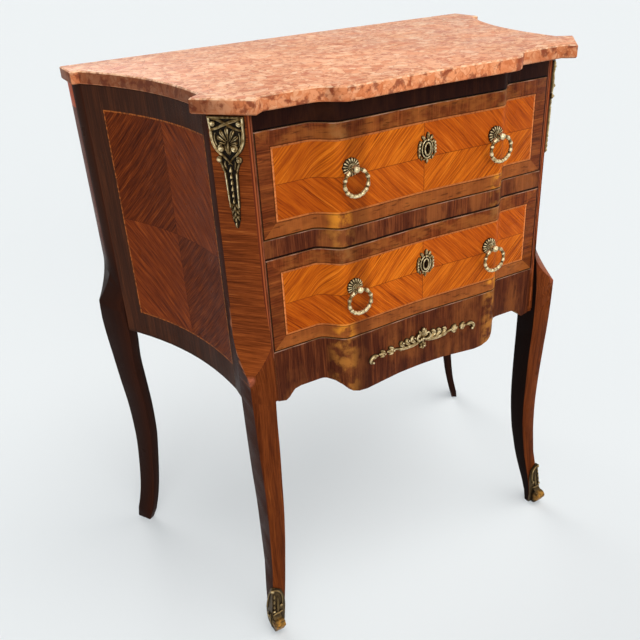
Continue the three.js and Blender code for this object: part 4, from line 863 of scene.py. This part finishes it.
def draw_apron_mount(r):
    """Palmette and pendant flower between leafy scrolls that end in hooks."""
    stops = [(0.12, 1.56, 1.5), (0.45, 3.64, 2.4), (0.75, 5.2, 3.0), (1.0, 1.82, 1.2)]
    for aim, far in ((0, 16.5), (25, 14.5), (-25, 14.5), (52, 11.5), (-52, 11.5)):
        r.petal(0, 0.5, aim, far, stops, 0.35)
    r.bead(0, 15.6, 1.9, 2.5, 2.1, 2.1)
    r.bead(0, 0.6, 1.8, 2.0)
    r.strip([(0, 0, 1.4, 1.6), (0, -3.5, 2.2, 2.2), (0, -6.5, 1.2, 1.4)])
    stops = [(1.0, 1.6, 1.8), (2.8, 3.4, 2.8), (4.6, 4.4, 3.0), (5.8, 1.8, 1.4)]
    for k in range(6):
        r.petal(0, -10.5, 60 - 60 * k, 1, stops, 0.35)
    r.bead(0, -10.5, 2.6, 1.7)

    def half(h):
        # looped leaf beside the palmette
        h.tube([(1.6, 0.4, 1.2, 1.2), (5.2, -1.4, 1.6, 1.7), (9.6, 0.6, 1.9, 2.0), (11.2, 4.8, 2.0, 1.9),
                (8.6, 8.6, 1.8, 1.6), (5.2, 7.4, 1.5, 1.2)])
        h.strip([(3.6, 2.4, 1.2, 1.4), (6.4, 3.2, 2.2, 2.2), (8.2, 5.8, 0.9, 1.2)], 0.3)
        # thick lower stem
        h.strip([(3.5, -3.4, 3.4, 1.8), (14, -5.2, 5.8, 2.8), (26, -5.6, 6.2, 3.0),
                 (37, -4.6, 5.2, 2.6), (45, -2.2, 3.0, 1.6)], 0.3)
        # curled leaves that climb from the stem
        for i in range(3):
            u = 12.5 + 9.8 * i
            k = 1 - 0.10 * i
            h.strip([(u, -4.4, 3.4, 2.0), (u + 2.6, -0.6, 6.4 * k, 2.9),
                     (u + 7.0 * k, 3.0 * k, 7.2 * k, 3.3), (u + 5.6, 7.0 * k, 5.8 * k, 2.9),
                     (u + 2.0, 6.4 * k, 2.6, 1.6)], 0.35)
            h.bead(u + 2.4, 5.6 * k, 2.2, 1.5)
            h.strip([(u + 3.2, -5.4, 2.2, 1.6), (u + 6.2, -6.2, 3.6, 2.2),
                     (u + 8.2, -5.2, 1.2, 1.0)], 0.3)
        h.strip([(42, -2.6, 2.6, 1.8), (48, -1.4, 3.2, 2.2), (54, -1.6, 2.6, 1.8)])
        # bell flowers, smaller towards the end
        for u, k in ((50, 1.0), (65, 0.86)):
            h.strip([(u, -1.6, 3.4, 2.0), (u + 3.4 * k, 2.0 * k, 7.0 * k, 3.1),
                     (u + 8.0 * k, 5.0 * k, 2.4, 1.5)], 0.35)
            h.strip([(u, -1.8, 3.6, 2.0), (u + 5.0 * k, -1.0, 7.4 * k, 3.3),
                     (u + 11.5 * k, -0.8, 2.6, 1.5)], 0.35)
            h.strip([(u, -2.0, 3.2, 2.0), (u + 3.6 * k, -4.6 * k, 6.4 * k, 2.9),
                     (u + 8.6 * k, -6.2 * k, 2.2, 1.3)], 0.35)
            h.bead(u + 0.4, -1.8, 1.8, 1.6)
        # hooked end
        h.strip([(76, -1.6, 2.8, 1.8), (81, 0.2, 4.6, 2.6), (86, -1.2, 5.6, 2.9),
                 (89.0, -5.2, 5.2, 2.8), (87.6, -9.6, 4.0, 2.2), (84.6, -10.2, 2.0, 1.2)], 0.35)
        h.strip([(78, -1.8, 1.2, 1.4), (82, -3.4, 2.4, 2.2), (84.6, -6.0, 0.9, 1.0)], 0.3)
        h.bead(85.4, -8.6, 1.8, 2.0)

    r.both(half)


def ellipse(count, half_u, half_v, mid_v=0.0, start=0.0):
    """Points (u, v) round an ellipse."""
    angles = [2 * math.pi * k / count + start for k in range(count)]
    return [(half_u * math.cos(a), mid_v + half_v * math.sin(a)) for a in angles]


def keyhole_ring(count, grow):
    """Outline of the keyhole about (0, -2.4): a round hole over a slot."""
    points = []
    for k in range(count):
        a = 2 * math.pi * k / count + math.pi / 2
        du, dv = math.cos(a), math.sin(a)
        best = 0.0
        for i in range(1, 120):
            s = i * 0.08
            u, v = du * s, -2.4 + dv * s
            if math.hypot(u, v) <= 2.4 + grow or (abs(u) <= 1.3 + grow and -7.0 - grow <= v <= 0):
                best = s
        points.append((du * best, -2.4 + dv * best))
    return points


def draw_escutcheon(r):
    """Key plate: double oval frame, side husks, leafy crest, side drops and pendant."""
    count = 40
    hole = keyhole_ring(count, 0.5)
    oval = ellipse(count, 10.2, 12.8, -1.5, math.pi / 2)
    field = ellipse(count, 4.6, 7.6, -1.7, math.pi / 2)
    rings = [
        [(u, v, 0.0) for u, v in oval],
        [(u, v, 0.9) for u, v in oval],
        [(u, v, 0.9) for u, v in field],
        [(u * 0.96, v, 1.1, 0.35) for u, v in field],
        [(u, v, 1.1, 0.30) for u, v in hole],
        [(u, v, 0.0) for u, v in hole],
    ]
    rings.append(rings[0])
    r.skin(rings, cap=False)
    for half_u, half_v, bar, lift in ((4.4, 7.6, 1.25, 1.9), (8.0, 11.2, 1.1, 1.2)):
        r.tube([(u, v, lift, bar) for u, v in ellipse(count, half_u, half_v, -1.7)], closed=True)
    # crest of leaves that leans to the right
    for u, v, aim, far, wide in ((0.6, 9.2, 8, 9.4, 4.8), (-3.4, 8.4, -30, 7.6, 4.4),
                                 (4.2, 8.0, 34, 7.8, 4.4), (-6.4, 5.6, -60, 5.6, 3.6),
                                 (6.8, 5.2, 62, 5.6, 3.6)):
        stops = [(0, wide * 0.5, 1.8), (0.4, wide * 0.9, 2.7), (0.75, wide, 2.7), (1, wide * 0.4, 1.2)]
        r.petal(u, v, aim, far, stops, 0.4)
    r.bead(0, 9.8, 2.2, 2.0)

    def half(h):
        h.strip([(10.0, 8.6, 2.2, 1.6), (11.4, 4.0, 3.4, 2.0), (12.0, -2.0, 3.6, 2.1),
                 (12.0, -8.0, 3.4, 2.0), (10.8, -12.6, 1.8, 1.4)], 0.2)
        for v, far in ((5.0, 11.6), (0.8, 12.2), (-3.4, 12.4), (-7.4, 12.2)):
            h.bead(far, v, 1.7, 1.5, 1.9, 1.3)
        h.strip([(8.8, -10.2, 1.4, 1.6), (8.6, -13.0, 2.6, 2.3), (7.6, -16.4, 0.8, 1.0)], 0.3)
        h.strip([(1.6, -13.4, 1.6, 1.8), (4.2, -14.8, 2.6, 2.4), (6.6, -14.2, 0.9, 1.2)], 0.35)

    r.both(half)
    r.strip([(0, -12.8, 1.8, 2.2), (0, -16.0, 3.6, 2.8), (0, -18.4, 2.8, 2.4), (0, -21, 0.7, 1.0)], 0.35)


def draw_rosette(r):
    """Ring of long petals round a raised cup, on the pull's own plate."""
    stops = ((4.8, 0.8, 2.8), (7.2, 1.7, 3.1), (9.8, 2.7, 3.0), (11.4, 1.7, 1.5))
    for du, dv in ellipse(17, 1, 1):
        r.strip([(du * s, dv * s, width, height) for s, width, height in stops], base=0.7, smooth=3)
    r.tube([(u, v, 3.8, 0.8) for u, v in ellipse(28, 4.3, 4.3)], closed=True)
    for u, v in ellipse(10, 3.1, 3.1):
        r.bead(u, v, 5.2, 0.8)
    r.tube([(u, v, 7.4, 0.7) for u, v in ellipse(20, 2.6, 2.6)], closed=True)


RING = 16.4


def ring_radius(angle):
    """Thickness of the ring at an angle from its top, in degrees: long reels between round beads."""
    a = abs(angle)
    if a < 18:
        return 1.5
    for centre in (37, 72, 107):
        away = abs(a - centre)
        if away < 6.5:
            return 2.0 + 0.8 * math.sqrt(1 - (away / 6.5) ** 2)
        if away < 8.0 or 11.0 < away < 12.5:
            return 1.7
        if away < 11.0:
            return 2.4
    if a < 120:
        return 2.1
    return 2.2 + 0.6 * abs(math.sin(math.radians((a - 120) * 9)))


def draw_ring(r):
    """Loose ring with turned beads and a leafy garland at its foot; (0, 0) is its pivot."""
    count = 160
    centre = 0.35 - RING
    rows = []
    for k in range(count):
        a = 360 * k / count
        a = a - 360 if a > 180 else a
        u, v = RING * math.sin(math.radians(a)), centre + RING * math.cos(math.radians(a))
        rows.append((u, v, 0.0, ring_radius(a)))
    marks = [min(max((radius - 1.5) / 0.9, 0.1), 1.0) for *_, radius in rows]
    r.tube(rows, sides=10, closed=True, marks=marks)

    def half(h):
        for i in range(4):
            a = math.radians(180 - 14 * i - 7)
            u, v = RING * math.sin(a), centre + RING * math.cos(a)
            for face in (1, -1):
                h.bead(u, v, 1.6 * face, 1.2, 2.4, 1.3, turn=-a + 0.5 * face)

    r.both(half)
    r.bead(0, centre - RING, 0.0, 2.9, 2.6, 2.9)


def draw_shoe(r):
    """Leaves and scrolls of the shoe: u runs inward on the front and, below 0, back along the side."""
    r.strip([(1.0, 79.5, 2.4, 2.0), (6.0, 78.0, 3.0, 2.4), (11.5, 73.5, 3.0, 2.4),
             (15.6, 66.0, 3.0, 2.4), (16.8, 56.0, 2.8, 2.3), (16.6, 49.0, 2.2, 1.8)], 0.25)
    r.spiral(14.6, 48.0, 0.2, 1.1, 2.8, 0.8, 0.9, 1.2, -1)
    r.bead(0.6, 78.5, 1.2, 3.0, 3.2, 2.4)
    for v in (67.0, 57.0, 47.5):
        r.strip([(2.6, v + 4.4, 1.2, 1.6), (3.0, v, 3.6, 2.8), (2.8, v - 4.4, 1.0, 1.2)], 0.3)
    r.bead(2.8, 41.0, 1.6, 2.3)
    r.strip([(9.4, 32.0, 1.6, 1.4), (9.0, 42.0, 4.4, 2.4), (9.4, 54.0, 4.2, 2.2),
             (8.4, 66.0, 1.2, 1.0)], 0.45)
    # side edge of the leaf frame, and a scroll below it
    r.strip([(-1.0, 78.0, 2.2, 1.8), (-6.0, 71.0, 2.8, 2.2), (-10.0, 61.0, 2.8, 2.2),
             (-13.0, 49.0, 2.8, 2.2), (-15.0, 37.0, 2.2, 1.8)], 0.25)
    r.spiral(-8.0, 27.0, 1.6, 1.4, 6.0, 1.2, 1.15, 1.2, 1)
    r.strip([(-3.0, 36.0, 1.6, 1.6), (-3.4, 26.0, 3.2, 2.4), (-2.6, 14.0, 3.0, 2.2),
             (-1.6, 5.0, 1.6, 1.4)], 0.3)
    # curled bar over the toe, and the lip of the toe
    r.strip([(1.6, 33.0, 2.4, 2.2), (5.0, 35.5, 4.0, 3.2), (10.5, 35.0, 4.0, 3.2),
             (16.4, 36.5, 3.0, 2.4)], 0.3)
    r.strip([(1.4, 30.0, 2.0, 1.8), (1.0, 20.0, 2.6, 2.4), (2.0, 9.0, 2.6, 2.4),
             (5.0, 3.0, 1.8, 1.8)], 0.25)


# ---------------------------------------------------------------- pieces

bronze_mat = bronze("bronze_mat", "open")
chased_mat = bronze("chased_bronze_mat", "relief")
pull_mat = bronze("pull_bronze_mat", "pull")
shoe_mat = bronze("shoe_bronze_mat", "relief", 0.90)
iron_mat = iron()
node_materials = {
    "marble_top": marble(),
    "drawer_upper_front": drawer_veneer("drawer_upper_mat", *DRAWERS["upper"]),
    "drawer_lower_front": drawer_veneer("drawer_lower_mat", *DRAWERS["lower"]),
}
stile_mat = stile_wood()
side_mat = side_veneer()
rail_mat = rail_wood()
oak_x = oak_wood("oak_long_mat", "x")
oak_y = oak_wood("oak_deep_mat", "y")
for name in nodes:
    if name.startswith("leg_"):
        node_materials[name] = stile_mat
    elif name.startswith("side_panel"):
        node_materials[name] = side_mat
    elif name in ("top_rail_front", "middle_rail", "front_apron"):
        node_materials[name] = rail_mat
    elif name.startswith(("runner", "kicker")) or "_side_" in name or name.endswith("_bottom"):
        node_materials[name] = oak_y
    elif name in ("back_panel", "top_rail_back", "bottom_board", "dust_board") or name.endswith("_back"):
        node_materials[name] = oak_x
    elif name.startswith("lock") or name.endswith("_nut"):
        node_materials[name] = iron_mat
    elif name.startswith("pull_"):
        node_materials[name] = pull_mat
    elif name not in node_materials:
        node_materials[name] = bronze_mat

SOFT_EDGE = {
    "marble_top": 0.0006,
    "front_apron": 0.0007,
    "top_rail_front": 0.0005,
    "middle_rail": 0.0005,
}


def dress(name):
    """Gives a CAD node its material, joined faces, slightly rounded edges and smooth shading."""
    piece = nodes[name]
    for slot in piece.material_slots:
        slot.material = node_materials[name]
    for polygon in piece.data.polygons:
        polygon.use_smooth = True
    weld = piece.modifiers.new("weld", "WELD")
    weld.merge_threshold = 0.00001
    if name.startswith("leg_"):
        width = 0.0009
    elif name.startswith("drawer_") and name.endswith("_front"):
        width = 0.0005
    else:
        width = SOFT_EDGE.get(name, 0.0)
    if width:
        bevel = piece.modifiers.new("bevel", "BEVEL")
        bevel.width = width
        bevel.segments = 2
        bevel.limit_method = "ANGLE"
        bevel.angle_limit = math.radians(35)
        bevel.use_clamp_overlap = True
    split = piece.modifiers.new("split", "EDGE_SPLIT")
    split.split_angle = math.radians(32)
    split.use_edge_sharp = False


for name in nodes:
    dress(name)

length = math.hypot(*CHAMFER)
OUT = Vector((CHAMFER[1] / length, -CHAMFER[0] / length, 0))
SIDE = Vector((-OUT.y, OUT.x, 0))
CANT = Vector((POST - CHAMFER[0] / 2, WING + CHAMFER[1] / 2, CASE_TOP - 0.007)) + OUT * SEAT


def on_cant(sign):
    def place(u, v, w):
        p = CANT + SIDE * u + OUT * w + Vector((0, 0, v))
        return (sign * p.x, p.y, p.z)
    return place


def on_front(height):
    def place(u, v, w):
        return (u, WING - swell(u) - SEAT - w, height + v)
    return place


def on_plane(x, y, z, sign=1):
    def place(u, v, w):
        return (x + sign * u, y - w, z + v)
    return place


# the foot's outer corner in mm: height, x, y
SHOE = ((0.0, 267.4, -163.4), (6.0, 268.5, -164.7), (12.0, 269.0, -165.7), (20.0, 269.0, -166.4),
        (28.0, 268.5, -166.6), (38.0, 267.6, -166.5), (48.0, 266.5, -166.0), (58.0, 265.4, -165.3),
        (68.0, 264.1, -164.4), (82.0, 262.2, -163.0))
SHOE_WALL = 0.0027


def on_shoe(sign):
    """Front (u above 0) and outer side (u below 0) of a front foot's shoe, v above the floor."""
    def place(u, v, w):
        height = min(max(v / MM, SHOE[0][0]), SHOE[-1][0])
        i = 0
        while SHOE[i + 1][0] < height:
            i += 1
        (h0, x0, y0), (h1, x1, y1) = SHOE[i], SHOE[i + 1]
        s = (height - h0) / (h1 - h0)
        x, y = (x0 + (x1 - x0) * s) * MM + SHOE_WALL, (y0 + (y1 - y0) * s) * MM - SHOE_WALL
        turn = min(max(0.5 + u / 0.004, 0.0), 1.0) * math.pi / 2
        x, y = x - max(u, 0.0) + w * math.cos(turn), y - min(u, 0.0) - w * math.sin(turn)
        return (sign * x, y, v)
    return place


chute = Relief()
draw_chute(chute)
shoe = Relief()
draw_shoe(shoe)
for side, sign in (("left", -1), ("right", 1)):
    make(f"chute_{side}", chute, on_cant(sign), chased_mat, "carcass",
         (f"corner_mount_{side}",), 1.85)
    make(f"shoe_leaves_{side}", shoe, on_shoe(sign), shoe_mat, "carcass")

garland = Relief()
draw_apron_mount(garland)
make("apron_ornament", garland, on_front(APRON_MOUNT), chased_mat, "carcass",
     ("apron_mount",), 1.5)

key_plate = Relief()
draw_escutcheon(key_plate)
petals = Relief()
draw_rosette(petals)
loose_ring = Relief()
draw_ring(loose_ring)
for drawer, (low, high) in DRAWERS.items():
    make(f"key_plate_{drawer}", key_plate, on_plane(KEY_SHIFT, MIDDLE_FACE, high - KEY_DROP), chased_mat,
         f"drawer_{drawer}", (f"escutcheon_{drawer}",), 1.3)
    for side, sign in (("left", -1), ("right", 1)):
        pull_x, pull_z = sign * PULL_X, high - PULL_DROP
        make(f"petals_{drawer}_{side}", petals, on_plane(pull_x, FACE_IN, pull_z), chased_mat,
             f"drawer_{drawer}")
        make(f"ring_{drawer}_{side}", loose_ring, on_plane(pull_x, FACE_IN - PULL_STAND, pull_z, sign),
             chased_mat, f"ring_{drawer}_{side}", (f"pull_{drawer}_{side}_ring",))

# ---------------------------------------------------------------- floor, light and camera

scene = bpy.context.scene
scene.view_settings.view_transform = "Standard"
FLOOR_HALF = 60.0
FLOOR_Z = -0.0002
FLOOR_COLOUR = (0.540, 0.561, 0.567, 1)
GLOW_COLOUR = (0.858, 0.933, 1.0, 1)
GLOW = 0.272
# soft round lamps far away: direction, angle of the full core and of the edge, strength
LAMPS = (
    ((0.20, -0.26, 0.94), 6, 28, 3.9),
    ((0.0, 0.87, 0.5), 6, 26, 4.6),
    ((-0.42, -0.85, 0.30), 6, 28, 4.0),
    ((0.05, -0.98, 0.15), 6, 26, 3.4),
    ((0.95, -0.20, 0.20), 6, 28, 3.4),
)
LAMP_COLOUR = (1.0, 0.985, 0.965, 1)
LAMPS_IN_METAL = 0.60
ROOM = 0.20
ROOM_IN_METAL = 0.60
AZIMUTH, DOWN, ROLL = 27.94, 28.37, 0.06027
EYE = (-0.552, -0.9114, 0.9628)
FOCUS = 747 / 640  # focal length in widths of the picture


def build_floor():
    mesh = bpy.data.meshes.new("floor")
    signs = ((-1, -1), (1, -1), (1, 1), (-1, 1))
    corners = [(a * FLOOR_HALF, b * FLOOR_HALF, FLOOR_Z) for a, b in signs]
    mesh.from_pydata(corners, [], [(0, 1, 2, 3)])
    floor = bpy.data.objects.new("floor", mesh)
    scene.collection.objects.link(floor)
    mat = bpy.data.materials.new("floor_mat")
    mat.use_nodes = True
    g = Graph(mat.node_tree)
    matt = g.node("BsdfDiffuse", {"Color": FLOOR_COLOUR}).outputs[0]
    glow = g.node("Emission", {"Color": GLOW_COLOUR, "Strength": GLOW}).outputs[0]
    both = g.node("AddShader", (matt, glow)).outputs[0]
    # camera, mirror and glass rays see the glow, which lights nothing
    path = g.node("LightPath").outputs
    seen = path["Is Camera Ray"]
    for other in ("Is Glossy Ray", "Is Transmission Ray"):
        seen = g.most(seen, path[other])
    mixed = g.node("MixShader", (seen, matt, both)).outputs[0]
    g.node("OutputMaterial", (mixed,))
    mesh.materials.append(mat)


def build_world():
    world = bpy.data.worlds.new("studio")
    scene.world = world
    world.use_nodes = True
    g = Graph(world.node_tree)
    direction = g.node("TexCoord").outputs["Generated"]
    total = None
    for aim, inner, outer, strength in LAMPS:
        aim = Vector(aim).normalized()
        dot = g.node("VectorMath", (direction, aim), operation="DOT_PRODUCT").outputs["Value"]
        value = g.step(dot, math.cos(math.radians(outer)), math.cos(math.radians(inner)), b=strength)
        total = value if total is None else g.add(total, value)
    # metal and glass see the pale room, with the lamps softer in it
    path = g.node("LightPath").outputs
    mirror = g.most(path["Is Glossy Ray"], path["Is Transmission Ray"])
    lamps = g.mul(total, g.step(mirror, 0.0, 1.0, smooth=False, a=1.0, b=LAMPS_IN_METAL))
    level = g.add(lamps, g.step(mirror, 0.0, 1.0, smooth=False, a=ROOM, b=ROOM_IN_METAL))
    lit = g.node("Background", {"Color": LAMP_COLOUR, "Strength": level}).outputs[0]
    pale = g.node("Background", {"Color": srgb(238, 242, 243), "Strength": 1.0}).outputs[0]
    mixed = g.node("MixShader", (path["Is Camera Ray"], lit, pale)).outputs[0]
    g.node("OutputWorld", (mixed,))


def build_camera():
    azimuth, down = math.radians(AZIMUTH), math.radians(DOWN)
    aside, ahead = math.sin(azimuth), math.cos(azimuth)
    look = Vector((aside * math.cos(down), ahead * math.cos(down), -math.sin(down)))
    right = Vector((ahead, -aside, 0))
    rise = right.cross(look)
    keep = math.sqrt(1 - ROLL * ROLL)
    turned = keep * right - ROLL * rise
    upright = keep * rise + ROLL * right
    data = bpy.data.cameras.new("camera")
    data.sensor_width = 36.0
    data.lens = FOCUS * data.sensor_width
    camera = bpy.data.objects.new("camera", data)
    scene.collection.objects.link(camera)
    turn = Matrix((turned, upright, -look)).transposed().to_4x4()
    camera.matrix_world = Matrix.Translation(EYE) @ turn
    scene.camera = camera


build_floor()
build_world()
build_camera()
